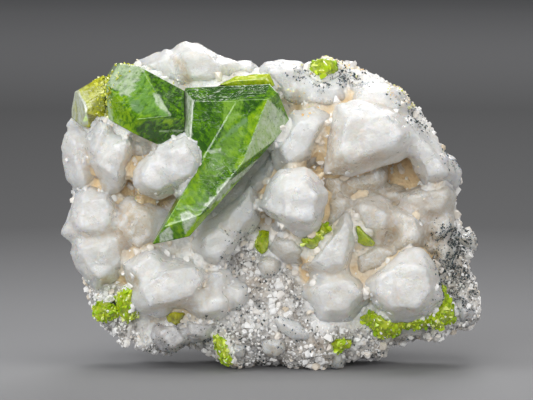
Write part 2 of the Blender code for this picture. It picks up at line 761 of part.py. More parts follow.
            crown=[(-41.5, 61), (-43, 57.5), (-44, 54.5)],
            outline=[
                (-46, 58.25), (-44, 60.75), (-42.5, 62.25), (-40.5, 62.25), (-38.75, 60.5), (-39, 58.5),
                (-43, 53), (-44.25, 52.25), (-45.5, 54.5),
            ],
        ),
        Crystal(
            front=-9, shoulder=-4, root=4,
            crown=[(-48.5, 57), (-48.5, 51.5), (-46.5, 47)],
            outline=[
                (-51.25, 58.75), (-50.25, 59.75), (-47.75, 59.25), (-45.25, 57.75), (-43.75, 52),
                (-43, 48.5),
                (-44.25, 46.5), (-47.75, 44), (-50.5, 48.25), (-51.75, 53.75),
            ],
        ),
        Crystal(
            front=-11, shoulder=-9, root=2,
            crown=[(-32.5, 56), (-32, 54.5)],
            outline=[
                (-36, 58.25), (-30.5, 58.25), (-29, 54.5), (-31.25, 52), (-33.25, 49.5), (-36, 52.75),
            ],
        ),
        Crystal(
            front=-7, shoulder=-4, root=3,
            crown=[(-48.75, 61.5), (-47.25, 60.25)],
            outline=[
                (-50.5, 61.25), (-49.25, 63), (-47.5, 62.25), (-45.25, 60.25), (-45.75, 57.75),
                (-48.5, 58.5),
            ],
        ),
    ],
    "feldspar_pillar": [
        Crystal(
            front=-17, shoulder=-11, root=2,
            crown=[(7, 62.25), (12, 61.75), (9.5, 55.75), (5, 52.75), (3.25, 55.75)],
            outline=[
                (5.75, 64.25), (10.5, 65.5), (14.75, 63.75), (13.75, 60), (11.5, 55), (8.75, 50.75),
                (5.5, 50.5), (2.25, 50.25), (1.75, 53), (0.25, 54.5), (3.5, 60),
            ],
        ),
        Crystal(
            front=-10, shoulder=-9, root=3,
            crown=[(14.5, 60.25), (16, 59), (12.5, 53.25)],
            outline=[
                (13, 61.5), (17, 61.25), (16.25, 56.75), (14, 53.5), (11.5, 50.75), (8.75, 50.75),
                (10.25, 55.25),
            ],
        ),
    ],
    "feldspar_green_tinted": [Crystal(
        front=-16.5, shoulder=-12, root=0,
        crown=[(2, 32.25), (5.75, 32.5), (7.25, 30), (3.5, 29.5)],
        outline=[
            (0, 31), (1.5, 34), (5.5, 34.25), (7.5, 32.5), (9, 30.25), (7.5, 27.25), (4.25, 27.75),
            (1.25, 29),
        ],
    )],
    "feldspar_small_round": [Crystal(
        front=-15, shoulder=-11.5, root=-2,
        crown=[(-1.5, 27), (0.75, 27.25), (0.5, 25.25), (-1.25, 25)],
        outline=[
            (-3.25, 26.25), (-2, 28.25), (1.25, 28.75), (2.25, 27.75), (1.75, 25), (0.5, 23.5),
            (-1.75, 23.25),
            (-2.75, 24.75),
        ],
    )],
    "feldspar_chip_middle": [Crystal(
        front=-14.5, shoulder=-12, root=0,
        crown=[(2.75, 35.75)],
        outline=[(0.5, 36.5), (3, 37.25), (5, 35.25), (3.75, 34.25), (1.25, 34.75)],
    )],
    "feldspar_foot_left": [
        Crystal(
            front=-14, shoulder=-9, root=2,
            crown=[(-27.5, 9.75), (-24.25, 11), (-21.75, 7.75), (-25, 6.5)],
            outline=[
                (-29.25, 8.5), (-28.5, 11.25), (-25.5, 12.25), (-22.5, 11), (-19.5, 7.5), (-24, 5),
                (-27, 5.5),
            ],
        ),
        Crystal(
            front=-15, shoulder=-10, root=1,
            crown=[(-20, 11.75), (-15.5, 11), (-16.75, 8.75), (-19.5, 9.25)],
            outline=[
                (-21.5, 13.25), (-18.25, 13.25), (-12.5, 11.75), (-15, 8.25), (-19, 7.25),
                (-21.25, 10.25),
            ],
        ),
    ],
    "feldspar_top_left": [
        Crystal(
            front=-7, shoulder=-1, root=8,
            crown=[(-22, 79.25), (-18.75, 80), (-12, 76.25), (-13, 73.25), (-18.75, 73.75)],
            outline=[
                (-24, 79.75), (-22.75, 81.25), (-20.75, 82.25), (-18.25, 81.75), (-17.5, 80.5),
                (-10.75, 78),
                (-8, 76.5), (-8.75, 72.75), (-15, 71.25), (-20, 71), (-21.75, 75.25),
            ],
        ),
        Crystal(
            front=-6, shoulder=0, root=8,
            crown=[(-30, 76.5), (-25.5, 78.25), (-23, 72.75), (-27.5, 74)],
            outline=[
                (-33, 77.25), (-29.5, 78.75), (-25.5, 80), (-24, 79.5), (-21.25, 74), (-20, 70.25),
                (-25, 71.25),
                (-30, 73.75),
            ],
        ),
        Crystal(
            front=-3, shoulder=1, root=8,
            crown=[(-6.75, 75.75), (-4.75, 75.75), (-5, 74.25)],
            outline=[
                (-9, 76.25), (-7, 77), (-5, 77), (-3.25, 75.75), (-3, 73.75), (-6, 73), (-9.25, 73.25),
            ],
        ),
    ],
    "feldspar_top_middle": [
        Crystal(
            front=-8, shoulder=-1, root=8,
            crown=[(-0.5, 74.75), (5.5, 75.25), (7, 70.75), (4.5, 68.75)],
            outline=[
                (-3.25, 74.75), (-1.25, 77), (2.5, 77.5), (6.75, 77.25), (9.5, 76), (10.5, 73.25),
                (9.5, 69),
                (6.25, 65.75), (3.25, 67), (0.5, 70.25),
            ],
        ),
        Crystal(
            front=-11, shoulder=-5, root=6,
            crown=[(11.25, 71.25), (17, 70.25), (16.25, 67.25), (9.5, 67.75)],
            outline=[
                (8.5, 74.5), (15, 72.5), (18.75, 72.75), (20, 67.75), (17, 65.75), (11.25, 65.5),
                (6.5, 66.75),
            ],
        ),
    ],
    "feldspar_small_blade": [Crystal(
        front=-17, shoulder=-15, root=-6,
        crown=[(2.5, 12.25), (8.25, 9)],
        outline=[
            (1.25, 12.75), (2.75, 13.5), (6.5, 11.75), (9.75, 8.75), (8.75, 7.75), (6, 8.5),
            (3, 10.25),
        ],
    )],
    "feldspar_cream_block_middle": [Crystal(
        front=-15.5, shoulder=-13, root=-5,
        crown=[(0, 6.75), (2, 6.5)],
        outline=[(-1.25, 7), (0.25, 8), (2.75, 7.75), (3.25, 5.25), (1.5, 4.25), (-1, 5)],
    )],
    "feldspar_cream_block_left": [Crystal(
        front=-14, shoulder=-11.5, root=-4,
        crown=[(-8.5, 5.25), (-7.75, 4.75)],
        outline=[(-9.5, 5.75), (-9, 6.75), (-6.75, 6), (-7, 3.75), (-9.25, 3.25)],
    )],
    "feldspar_cream_block_right": [Crystal(
        front=-11, shoulder=-8, root=1,
        crown=[(16, 4), (17, 2.75)],
        outline=[(13.75, 4), (15.75, 5), (18, 5), (18.25, 3.25), (17.5, 1.25), (15, 1.25)],
    )],
    "feldspar_right_edge_low": [Crystal(
        front=-9, shoulder=-3, root=5,
        crown=[(47.5, 16.5), (49.5, 14.75), (48, 13.25)],
        outline=[
            (45, 17.75), (47.5, 18.5), (50, 17), (51.75, 14.75), (50.75, 12.25), (47.5, 11.5),
            (46, 13.75),
        ],
    )],
    "feldspar_right_edge_high": [Crystal(
        front=-6, shoulder=-1, root=5,
        crown=[(47, 33.75), (49.5, 33.25)],
        outline=[
            (44.5, 33.75), (47, 35.5), (50, 34.75), (51.5, 33.25), (51.25, 30.25), (48, 30.75),
            (45.5, 31.25),
        ],
    )],
}


# The rock: its outline as seen from the front, clockwise from the left, and the depth of its surface at places

ROCK_OUTLINE = [
    (-49, 36.5), (-49, 42.75), (-49.5, 52.75), (-49, 59.75), (-46.5, 65.25), (-41.25, 71.5),
    (-35.5, 75.25), (-30, 77), (-24.5, 78.25), (-18.75, 79), (-11.25, 76), (-3.75, 74.25), (3.75, 76),
    (10, 76.75), (13.75, 78.5), (20.5, 76), (28.75, 72.5), (33, 70.25), (37, 65.5), (40.5, 59.75),
    (44, 54.5), (46.75, 51), (46.75, 46.25), (46.25, 40.75), (47, 35.5), (51, 34.5), (51.5, 30.5),
    (49, 27), (51.5, 20.75), (52.25, 17), (51.75, 13.25), (49.5, 11.25), (46.25, 11), (42.5, 8.5),
    (36.25, 8.25), (31.25, 6.75), (27.5, 4), (18.75, 3.5), (17.5, 0.25), (7.5, 0.25), (3, 1.75),
    (-4, 2), (-7.75, 0.25), (-13, 3.5), (-18, 6), (-20.5, 7.25), (-25, 5), (-30, 5), (-33.25, 6.5),
    (-35, 9.25), (-39.5, 9.75), (-41.5, 11.5), (-43.75, 15.25), (-45, 18.75), (-46.5, 25.25),
    (-47.5, 32.75),
]

FRONT_DEPTHS = [
    (-47, 33, -2), (-42, 15, -9), (-38, 11, -10), (-40, 21, -8), (-33, 8, -9), (-27, 9, -10),
    (-17, 9, -12),
    (-9, 10, -13), (-8, 5, -12), (-1, 18, -10), (-7, 30, -8), (-5, 23, -9), (5, 18, -11), (0, 9, -14),
    (8, 6, -15),
    (15, 8, -14), (23, 9, -13), (30, 8, -13), (37, 10, -11), (46, 15, -7), (49, 20, -4), (49, 31, -2),
    (45, 36, -3), (43, 26, -8), (44, 20, -9), (32, 50, 2), (23, 46, -2), (30, 44, -2), (35, 69, -2),
    (42, 58, -2),
    (28, 71, -5), (20, 73, -3), (15, 76, -1), (8, 73, -3), (4, 66, -8), (0, 69, -6), (-3, 45, -4),
    (10, 28, -6),
    (-12, 68, -2), (-30, 65, 0), (-45, 65, 0), (-49, 53, 0), (-40, 53, -5), (-49, 38, -1), (-37, 40, -7),
    (-30, 42, -9), (-33, 35, -7), (-22, 30, -10), (-21, 18, -9), (15, 40, -6), (20, 15, -10),
    (10, 14, -9),
]

BACK_DEPTHS = [
    (-42, 20, 12), (-25, 12, 17), (-5, 8, 16), (18, 10, 18), (38, 16, 13), (46, 32, 12), (40, 50, 14),
    (25, 66, 14), (0, 72, 14), (-25, 70, 13), (-44, 50, 12), (-28, 35, 21), (-5, 42, 25), (18, 36, 24),
    (25, 52, 18), (-18, 58, 19), (2, 24, 22), (30, 28, 20),
]

# Where the rock shows between the crystals and grows its sugary lumps
LUMP_PLACES = [
    (-37, 10), (-31, 8), (-12, 9), (-6, 7), (0, 10), (6, 6), (11, 9), (24, 8), (35, 10), (-3, 24),
    (0, 18), (8, 15),
    (-5, 13), (-40, 21), (47, 22), (46, 27),
]
LUMP_SPREAD = 2.5


def surface_depth(u, v, depths):
    """The depth at (u, v), weighed from the known places by how near they are."""
    total = 0
    weights = 0
    for place_u, place_v, depth in depths:
        weight = 1 / ((u - place_u) ** 2 + (v - place_v) ** 2 + 1) ** 1.5
        total += weight * depth
        weights += weight
    return total / weights


def scattered(spacing, roughness):
    """Places about one spacing apart over the whole front view."""
    columns = range(-int(VIEW_HALF_WIDTH / spacing), int(VIEW_HALF_WIDTH / spacing) + 1)
    rows = range(int(VIEW_HEIGHT / spacing) + 1)
    return [
        (
            (column + roughness.uniform(-LOOSENESS, LOOSENESS) + row % 2 / 2) * spacing,
            (row + roughness.uniform(-LOOSENESS, LOOSENESS)) * spacing,
        )
        for row in rows for column in columns
    ]


def to_rim(place):
    """How far a place is inside the outline of the rock, negative outside it."""
    place = Vector(place)
    inside = False
    nearest = math.inf
    for index, end in enumerate(ROCK_OUTLINE):
        start = Vector(ROCK_OUTLINE[index - 1])
        end = Vector(end)
        along = min(max((place - start).dot(end - start) / (end - start).length_squared, 0), 1)
        nearest = min(nearest, (start.lerp(end, along) - place).length)
        if (start.y > place.y) != (end.y > place.y):
            crossing = start.x + (place.y - start.y) / (end.y - start.y) * (end.x - start.x)
            inside ^= place.x < crossing
    return nearest if inside else -nearest


def broken_blocks(roughness):
    """The blocks the rock breaks into: where each one is, its step and its slopes."""
    blocks = []
    for place in scattered(BLOCK_SPACING, roughness):
        step = roughness.uniform(-BLOCK_STEP, BLOCK_STEP)
        slope = Vector([roughness.uniform(-BLOCK_SLOPE, BLOCK_SLOPE) for _ in place])
        blocks.append((Vector(place), step, slope))
    return blocks


def rock_side(rim, spacing, depths, full_within, solid, roughness):
    """One side of the rock, from its rim in, over corners that stand on the blocks it breaks into."""
    blocks = broken_blocks(roughness)
    rim_depth = sum(corner.co.y for corner in rim) / len(rim)
    corners = list(rim)
    places = [Vector(place) for place in ROCK_OUTLINE]
    for u, v in scattered(spacing, roughness):
        within = to_rim((u, v))
        if within < RIM_CLEARANCE:
            continue
        middle, step, slope = min(blocks, key=lambda block: (block[0] - Vector((u, v))).length)
        fullness = 1 - (1 - min(within / full_within, 1)) ** 2
        depth = rim_depth + (surface_depth(u, v, depths) - rim_depth) * fullness
        depth += fullness * (step + slope.dot(Vector((u, v)) - middle)) + roughness.gauss(0, ROUGHNESS)
        places.append(Vector((u, v)))
        corners.append(solid.verts.new(seen(u, v, depth)))
    outline = list(range(len(ROCK_OUTLINE)))
    sheet = geometry.delaunay_2d_cdt(places, [], [outline], 1, MERGE_DISTANCE)
    for triangle in sheet[2]:
        solid.faces.new([corners[sheet[3][corner][0]] for corner in triangle])


def rock_body(roughness):
    """The closed lump: its rim and the two sides that the rim joins."""
    solid = bmesh.new()
    rings = []
    for share, depth in RIM_RINGS:
        ring = []
        for u, v in ROCK_OUTLINE:
            out = share + roughness.uniform(-RIM_NOTCH, 0)
            ring_u = ROCK_MIDDLE[0] + (u - ROCK_MIDDLE[0]) * out
            ring_v = ROCK_MIDDLE[1] + (v - ROCK_MIDDLE[1]) * out
            place = depth + roughness.uniform(-RIM_STRAY, RIM_STRAY)
            place -= FOOT_FORWARD * max(1 - v / FOOT_HEIGHT, 0)
            ring.append(solid.verts.new(seen(ring_u, ring_v, place)))
        rings.append(ring)
    for ring, further in zip(rings, rings[1:]):
        for index, corner in enumerate(ring):
            solid.faces.new((corner, ring[index - 1], further[index - 1], further[index]))
    rock_side(rings[0], FRONT_SPACING, FRONT_DEPTHS, FRONT_FULL_WITHIN, solid, roughness)
    rock_side(rings[-1], BACK_SPACING, BACK_DEPTHS, BACK_FULL_WITHIN, solid, roughness)
    bmesh.ops.triangulate(solid, faces=solid.faces[:])
    bmesh.ops.recalc_face_normals(solid, faces=solid.faces[:])
    return solid


def angular_lump(middle, radius, corners, roughness):
    """A small convex lump with flat faces."""
    points = []
    for _ in range(corners):
        direction = Vector([roughness.gauss(0, 1) for _ in range(3)]).normalized()
        points.append(middle + direction * radius)
    return hull(points)


def rock_lumps(roughness):
    """The lumps on the open surface of the rock."""
    lumps = []
    for _ in range(LUMP_COUNT):
        u, v = roughness.choice(LUMP_PLACES)
        u += roughness.uniform(-LUMP_SPREAD, LUMP_SPREAD)
        v += roughness.uniform(-LUMP_SPREAD, LUMP_SPREAD)
        middle = seen(u, v, surface_depth(u, v, FRONT_DEPTHS) + LUMP_SUNK)
        lumps.append(angular_lump(middle, roughness.uniform(*LUMP_RADIUS), LUMP_CORNERS, roughness))
    return lumps


def rock(sockets):
    """The rock with its lumps, its flat resting place and a socket for every crystal."""
    roughness = random.Random(ROUGHNESS_SEED)
    body = combined(rock_body(roughness), rock_lumps(roughness), "UNION")
    ground = bmesh.new()
    bmesh.ops.create_cube(ground, size=GROUND_SIZE, matrix=Matrix.Translation((0, 0, -GROUND_SIZE / 2)))
    return combined(combined(body, [ground], "DIFFERENCE"), sockets, "DIFFERENCE")


# The specimen

def specimen():
    """Every node, each cut back from the ones made before it, and the rock last."""
    for item in list(bpy.data.objects):
        bpy.data.objects.remove(item)
    bodies = {
        "titanite_main": [cut_faces(BLADE_FACES, BLADE_INSIDE), cut_faces(SHOULDER_FACES, SHOULDER_INSIDE)],
        "titanite_upper_left": [cut_faces(UPPER_LEFT_TITANITE_FACES, UPPER_LEFT_TITANITE_INSIDE)],
        "titanite_left_edge": [hull_faces([seen(*corner) for corner in OLIVE_TITANITE_CORNERS])],
    }
    for name, crystals in {**FELDSPAR_CLUSTERS, **SMALL_TITANITES}.items():
        bodies[name] = [crystal_faces(crystal) for crystal in crystals]
    made = []
    solids = {}
    for name, crystals in bodies.items():
        first, *rest = [bounded(faces) for faces in crystals]
        solid = combined(first, rest, "UNION")
        box = reach(solid)
        neighbours = [bounded(faces, SOCKET_GAP) for faces in made]
        near = [neighbour for neighbour in neighbours if meets(box, reach(neighbour))]
        solid = cleaned(combined(solid, near, "DIFFERENCE"))
        solids[name] = solid
        made += crystals
    solids["matrix"] = cleaned(rock([bounded(faces, SOCKET_GAP) for faces in made]))
    finish(solids)


specimen()
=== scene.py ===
import json
import math
import random

import bmesh
import bpy
import numpy as np
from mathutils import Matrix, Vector
from mathutils import noise as waver
from mathutils.bvhtree import BVHTree

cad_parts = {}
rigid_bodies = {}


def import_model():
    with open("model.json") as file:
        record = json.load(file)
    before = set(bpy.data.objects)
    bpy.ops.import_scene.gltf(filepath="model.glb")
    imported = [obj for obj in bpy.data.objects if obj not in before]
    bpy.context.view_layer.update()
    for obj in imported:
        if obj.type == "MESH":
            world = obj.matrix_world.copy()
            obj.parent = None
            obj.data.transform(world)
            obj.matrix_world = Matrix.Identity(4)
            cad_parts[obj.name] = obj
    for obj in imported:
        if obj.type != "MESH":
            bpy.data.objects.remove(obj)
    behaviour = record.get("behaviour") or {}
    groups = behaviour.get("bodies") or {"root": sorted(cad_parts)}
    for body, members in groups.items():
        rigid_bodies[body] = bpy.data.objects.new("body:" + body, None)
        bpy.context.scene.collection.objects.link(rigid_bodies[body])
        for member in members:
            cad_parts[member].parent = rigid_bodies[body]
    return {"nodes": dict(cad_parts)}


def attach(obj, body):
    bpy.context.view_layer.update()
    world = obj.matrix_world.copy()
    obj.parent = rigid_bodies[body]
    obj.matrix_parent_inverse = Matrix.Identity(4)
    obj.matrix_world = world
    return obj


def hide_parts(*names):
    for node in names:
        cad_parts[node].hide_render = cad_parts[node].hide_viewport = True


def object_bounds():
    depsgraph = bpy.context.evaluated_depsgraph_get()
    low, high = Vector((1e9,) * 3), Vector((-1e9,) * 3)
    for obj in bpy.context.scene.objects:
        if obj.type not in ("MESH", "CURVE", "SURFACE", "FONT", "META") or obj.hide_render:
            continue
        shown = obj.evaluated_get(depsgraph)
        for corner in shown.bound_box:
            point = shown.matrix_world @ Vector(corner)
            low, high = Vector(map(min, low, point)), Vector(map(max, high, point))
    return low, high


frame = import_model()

CAD_BOX = [list(corner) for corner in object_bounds()]
MM = 0.001
TILT = math.radians(6)
DISTANCE = 950
AIM = Vector((-0.36, -0.67, 40.1))
VIEW_MIDDLE = 41.25
FRAME_WIDTH = 133.25
PICTURE_MIDDLE = (-0.875, 42.75)


def shown_at(places):
    """Where points, in metres, are seen from the front: the arrays of u and v."""
    down = np.array((0, math.cos(TILT), -math.sin(TILT)))
    up = np.array((0, math.sin(TILT), math.cos(TILT)))
    offset = places / MM - np.array(AIM)
    share = DISTANCE / (offset @ down + DISTANCE)
    return offset[:, 0] * share, (offset @ up) * share + VIEW_MIDDLE


camera = bpy.data.objects.new("camera", bpy.data.cameras.new("camera"))
bpy.context.scene.collection.objects.link(camera)
bpy.context.scene.camera = camera
view_up = Vector((0, math.sin(TILT), math.cos(TILT)))
aim = AIM + Vector((PICTURE_MIDDLE[0], 0, 0)) + (PICTURE_MIDDLE[1] - VIEW_MIDDLE) * view_up
camera.location = (aim + DISTANCE * Vector((0, -math.cos(TILT), math.sin(TILT)))) * MM
camera.rotation_euler = (math.radians(90) - TILT, 0, 0)
camera.data.lens = camera.data.sensor_width * DISTANCE / FRAME_WIDTH
camera.data.clip_start = 0.01
bpy.context.scene.view_settings.view_transform = "Standard"


# The table it stands on and the soft light of a small studio: a wide floor with painted light on it, pale near
# the stone, darker some way off and lighter again far off, a broad soft box overhead, one at the left, a
# smaller one at the right, a large one in front and one behind.
def node_material(name):
    """A new material with its Principled shader."""
    made = bpy.data.materials.new(name)
    made.use_nodes = True
    return made, made.node_tree.nodes["Principled BSDF"]


def add_node(tree, kind, inputs=(), **settings):
    """A new node with these settings. Its inputs, by name or number, get values or links from other nodes."""
    made = tree.nodes.new(kind)
    for key, value in settings.items():
        setattr(made, key, value)
    for key, value in dict(inputs).items():
        socket = made.inputs[key]
        if isinstance(value, bpy.types.NodeSocket):
            tree.links.new(value, socket)
        elif isinstance(value, tuple) and len(socket.default_value) == 4:
            socket.default_value = (*value, 1)
        else:
            socket.default_value = value
    return made


floor_material, floor_shader = node_material("pale floor")
floor_tree = floor_material.node_tree
floor_place = add_node(floor_tree, "ShaderNodeTexCoord").outputs["Object"]
from_stone = add_node(floor_tree, "ShaderNodeVectorMath", {0: floor_place}, operation="LENGTH")
halved = add_node(floor_tree, "ShaderNodeMath", {0: from_stone.outputs["Value"], 1: 0.5}, operation="MULTIPLY")
# Painted light: the floor's colour is pale near the stone, darker some way off and lighter again far off.
floor_painted_light = add_node(floor_tree, "ShaderNodeValToRGB", {0: halved.outputs[0]})
floor_painted_light.color_ramp.elements.new(0.5)
floor_painted_light.color_ramp.elements.new(0.6)
painted_floor_light_tones = ((0.03, 0.26), (0.16, 0.085), (0.4, 0.06), (0.8, 0.22))
for element, (position, tone) in zip(floor_painted_light.color_ramp.elements, painted_floor_light_tones):
    element.position = position
    element.color = (tone, tone, 1.035 * tone, 1)
floor_tree.links.new(floor_painted_light.outputs[0], floor_shader.inputs["Base Color"])
floor_shader.inputs["Roughness"].default_value = 0.9
floor_mesh = bpy.data.meshes.new("floor")
FLOOR_RADIUS = 4
turns = [math.radians(5 * step) for step in range(72)]
floor_rim = [(FLOOR_RADIUS * math.cos(turn), FLOOR_RADIUS * math.sin(turn), -1e-5) for turn in turns]
floor_mesh.from_pydata(floor_rim, [], [tuple(range(72))])
floor_mesh.materials.append(floor_material)
floor = bpy.data.objects.new("floor", floor_mesh)
bpy.context.scene.collection.objects.link(floor)


def soft_box(name, place, size, watts, colour):
    """A rectangular soft light that faces the stone."""
    light = bpy.data.lights.new(name, "AREA")
    light.shape = "RECTANGLE"
    light.size, light.size_y = size
    light.energy = watts
    light.color = colour
    lamp = bpy.data.objects.new(name, light)
    lamp.location = place
    lamp.rotation_euler = (Vector((0, 0, 0.04)) - Vector(place)).to_track_quat("-Z", "Y").to_euler()
    lamp.visible_camera = False
    bpy.context.scene.collection.objects.link(lamp)


soft_box("light above", (0.0, -0.12, 0.62), (0.5, 0.36), 1.7, (1, 0.985, 0.965))
soft_box("light left", (-0.9, -0.55, 0.62), (0.5, 0.66), 5.8, (0.97, 0.985, 1))
soft_box("light right", (1.0, -0.66, 0.5), (0.35, 0.6), 3.4, (1, 0.98, 0.95))
soft_box("light in front", (-0.15, -1.0, 0.36), (0.7, 0.4), 5.2, (1, 1, 0.985))
soft_box("light behind", (0.2, 1.1, 0.9), (0.6, 0.4), 7.0, (1, 1, 1))
world = bpy.data.worlds.new("studio")
world.use_nodes = True
world.node_tree.nodes["Background"].inputs["Color"].default_value = (0.80, 0.81, 0.82, 1)
world.node_tree.nodes["Background"].inputs["Strength"].default_value = 0.26
bpy.context.scene.world = world


# The rock that everything grows on: a lump of granular feldspar and quartz, broken rough behind. Between the
# crystals it rises as the milky mass that they are grown together with, so their creases are shallow, and
# round the titanite it is cut back, so that no rock stands in the clear crystals.
def roughener():
    """A Geometry Nodes tree that roughens a surface in broad waves, growth steps, lumps and fine grain."""
    tree = bpy.data.node_groups.new("roughened surface", "GeometryNodeTree")
    tree.interface.new_socket("Geometry", in_out="INPUT", socket_type="NodeSocketGeometry")
    for label, size in (("Wave", 0.008), ("Step", 0.004), ("Block", 0.004), ("Lump", 0.002), ("Grain", 0.0006)):
        tree.interface.new_socket(label + " depth", in_out="INPUT", socket_type="NodeSocketFloat")
        socket = tree.interface.new_socket(label + " size", in_out="INPUT", socket_type="NodeSocketFloat")
        socket.default_value = size
    tree.interface.new_socket("Geometry", in_out="OUTPUT", socket_type="NodeSocketGeometry")
    start = add_node(tree, "NodeGroupInput").outputs

    def maths(operation, *values):
        return add_node(tree, "ShaderNodeMath", enumerate(values), operation=operation).outputs[0]

    total = 0.0
    turned = add_node(tree, "ShaderNodeVectorRotate", rotation_type="EULER_XYZ", inputs={
        "Vector": add_node(tree, "GeometryNodeInputPosition").outputs[0], "Rotation": (0.5, 0.35, 0.6)}).outputs[0]
    for label in ("Wave", "Step", "Block", "Lump", "Grain"):
        drawn = {"Vector": turned, "Scale": maths("DIVIDE", 1, start[label + " size"])}
        if label == "Lump":
            pattern = add_node(tree, "ShaderNodeTexVoronoi", drawn, feature="SMOOTH_F1")
        elif label == "Block":
            pattern = add_node(tree, "ShaderNodeTexVoronoi", drawn, distance="CHEBYCHEV")
        else:
            detail = {"Wave": 2, "Step": 1, "Grain": 3}[label]
            pattern = add_node(tree, "ShaderNodeTexNoise", {**drawn, "Detail": detail})
        height = pattern.outputs["Distance" if label in ("Lump", "Block") else "Fac"]
        if label == "Step":
            flights = maths("MULTIPLY", height, 9)
            part = maths("POWER", maths("FRACT", flights), 7)
            height = maths("DIVIDE", maths("ADD", maths("FLOOR", flights), part), 9)
        total = maths("MULTIPLY_ADD", maths("SUBTRACT", height, 0.5), start[label + " depth"], total)
    normal = add_node(tree, "GeometryNodeInputNormal").outputs[0]
    offset = add_node(tree, "ShaderNodeVectorMath", {0: normal, "Scale": total}, operation="SCALE").outputs[0]
    move = add_node(tree, "GeometryNodeSetPosition", {"Geometry": start["Geometry"], "Offset": offset})
    tree.links.new(move.outputs[0], add_node(tree, "NodeGroupOutput").inputs[0])
    return tree


ROUGHENER = roughener()


def joined(meshes, name, weld=0):
    """A new object with the shapes of these meshes as one mesh, corners closer than the weld made one."""
    solid = bmesh.new()
    for mesh in meshes:
        solid.from_mesh(mesh)
    if weld:
        bmesh.ops.remove_doubles(solid, verts=solid.verts[:], dist=weld)
    mesh = bpy.data.meshes.new(name)
    solid.to_mesh(mesh)
    solid.free()
    piece = bpy.data.objects.new(name, mesh)
    bpy.context.scene.collection.objects.link(piece)
    return piece


def joined_copy(node_names, name):
    """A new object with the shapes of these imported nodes, their loose triangles joined."""
    return joined([frame["nodes"][node].data for node in node_names], name, weld=1e-6)


def settled(piece):
    """The piece with its modifiers made part of its mesh."""
    bpy.context.view_layer.update()
    evaluated = piece.evaluated_get(bpy.context.evaluated_depsgraph_get())
    mesh = bpy.data.meshes.new_from_object(evaluated)
    piece.modifiers.clear()
    piece.data = mesh
    return piece


def remeshed(piece, voxel):
    """The piece covered with an even fine mesh, which also joins bodies that overlap."""
    remesh = piece.modifiers.new("fine mesh", "REMESH")
    remesh.mode = "VOXEL"
    remesh.voxel_size = voxel
    return settled(piece)


def together(spare, piece):
    """The piece with the spare piece's shape added to its own mesh, and the spare one gone."""
    both = bmesh.new()
    both.from_mesh(spare.data)
    both.from_mesh(piece.data)
    both.to_mesh(piece.data)
    both.free()
    bpy.data.objects.remove(spare)
    return piece


def swelled(piece, reach):
    """The piece with its surface moved outward by the reach, or inward where it is negative."""
    swell = piece.modifiers.new("swell", "DISPLACE")
    swell.mid_level = 0
    swell.strength = reach
    return settled(piece)


def roughened(piece, kept=1.0, **depths):
    """The piece roughened by the named depths and sizes, with the given share of its triangles kept."""
    rough = piece.modifiers.new("roughness", "NODES")
    rough.node_group = ROUGHENER
    for item in ROUGHENER.interface.items_tree:
        label = item.name.replace(" ", "_").lower()
        if item.in_out == "INPUT" and label in depths:
            rough[item.identifier] = depths[label]
    if kept < 1:
        piece.modifiers.new("fewer triangles", "DECIMATE").ratio = kept
    settled(piece)
    for face in piece.data.polygons:
        face.use_smooth = True
    return piece


def places_of(mesh):
    """The places of a mesh's corners, one row each."""
    places = np.empty(len(mesh.vertices) * 3)
    mesh.vertices.foreach_get("co", places)
    return places.reshape(-1, 3)


def normals_of(mesh):
    """The outward directions at a mesh's corners, one row each."""
    normals = np.empty(len(mesh.vertices) * 3)
    mesh.vertex_normals.foreach_get("vector", normals)
    return normals.reshape(-1, 3)


def kept_inside(piece):
    """The piece with whatever roughening pushed past the solids' box drawn back into it."""
    places = np.clip(places_of(piece.data), np.array(CAD_BOX[0]) + 2e-5, np.array(CAD_BOX[1]) - 2e-5)
    piece.data.vertices.foreach_set("co", places.ravel())
    piece.data.update()
    return piece


def set_values(piece, name, values):
    """A point attribute of the piece for its material to read."""
    attribute = piece.data.attributes.get(name) or piece.data.attributes.new(name, "FLOAT", "POINT")
    attribute.data.foreach_set("value", np.asarray(values, dtype=np.float32))


def worn(piece, material):
    """The piece made of this material all over."""
    piece.data.materials.clear()
    piece.data.materials.append(material)


def node_maker(tree):
    """Short ways to add the nodes that the materials here are put together from."""
    def noise(vector, scale, detail=3.0, rough=0.5, distortion=0.0):
        made = add_node(tree, "ShaderNodeTexNoise", {
            "Vector": vector, "Scale": scale, "Detail": detail, "Roughness": rough, "Distortion": distortion})
        return made.outputs["Fac"]

    def ramp(value, *stops):
        made = add_node(tree, "ShaderNodeValToRGB", {0: value})
        elements = made.color_ramp.elements
        while len(elements) < len(stops):
            elements.new(0.5)
        for element, (position, colour) in zip(elements, stops):
            element.position = position
            element.color = (*colour, 1) if isinstance(colour, tuple) else (colour, colour, colour, 1)
        return made.outputs["Color"]

    def mix(share, first, second):
        made = add_node(tree, "ShaderNodeMix", {0: share}, data_type="RGBA")
        for value, socket in zip((first, second), [socket for socket in made.inputs if socket.type == "RGBA"]):
            if isinstance(value, tuple):
                socket.default_value = (*value, 1)
            else:
                tree.links.new(value, socket)
        return [socket for socket in made.outputs if socket.type == "RGBA"][0]

    def maths(operation, *values):
        return add_node(tree, "ShaderNodeMath", enumerate(values), operation=operation).outputs[0]

    def stored(name):
        return add_node(tree, "ShaderNodeAttribute", attribute_name=name).outputs["Fac"]

    def stretched(vector, scale, turn=(0, 0, 0)):
        turned = add_node(tree, "ShaderNodeMapping", {"Vector": vector, "Rotation": turn})
        return add_node(tree, "ShaderNodeMapping", {"Vector": turned.outputs[0], "Scale": scale}).outputs[0]

    def dimmed(colour, share):
        return add_node(tree, "ShaderNodeVectorMath", {0: colour, "Scale": share}, operation="SCALE").outputs[0]

    def bump(height, strength, distance):
        made = add_node(tree, "ShaderNodeBump", {"Height": height, "Strength": strength, "Distance": distance})
        return made.outputs[0]

    return noise, ramp, mix, maths, stored, stretched, dimmed, bump


waver.seed_set(1)  # without a seed, the ragged borders of the zones would differ from run to run


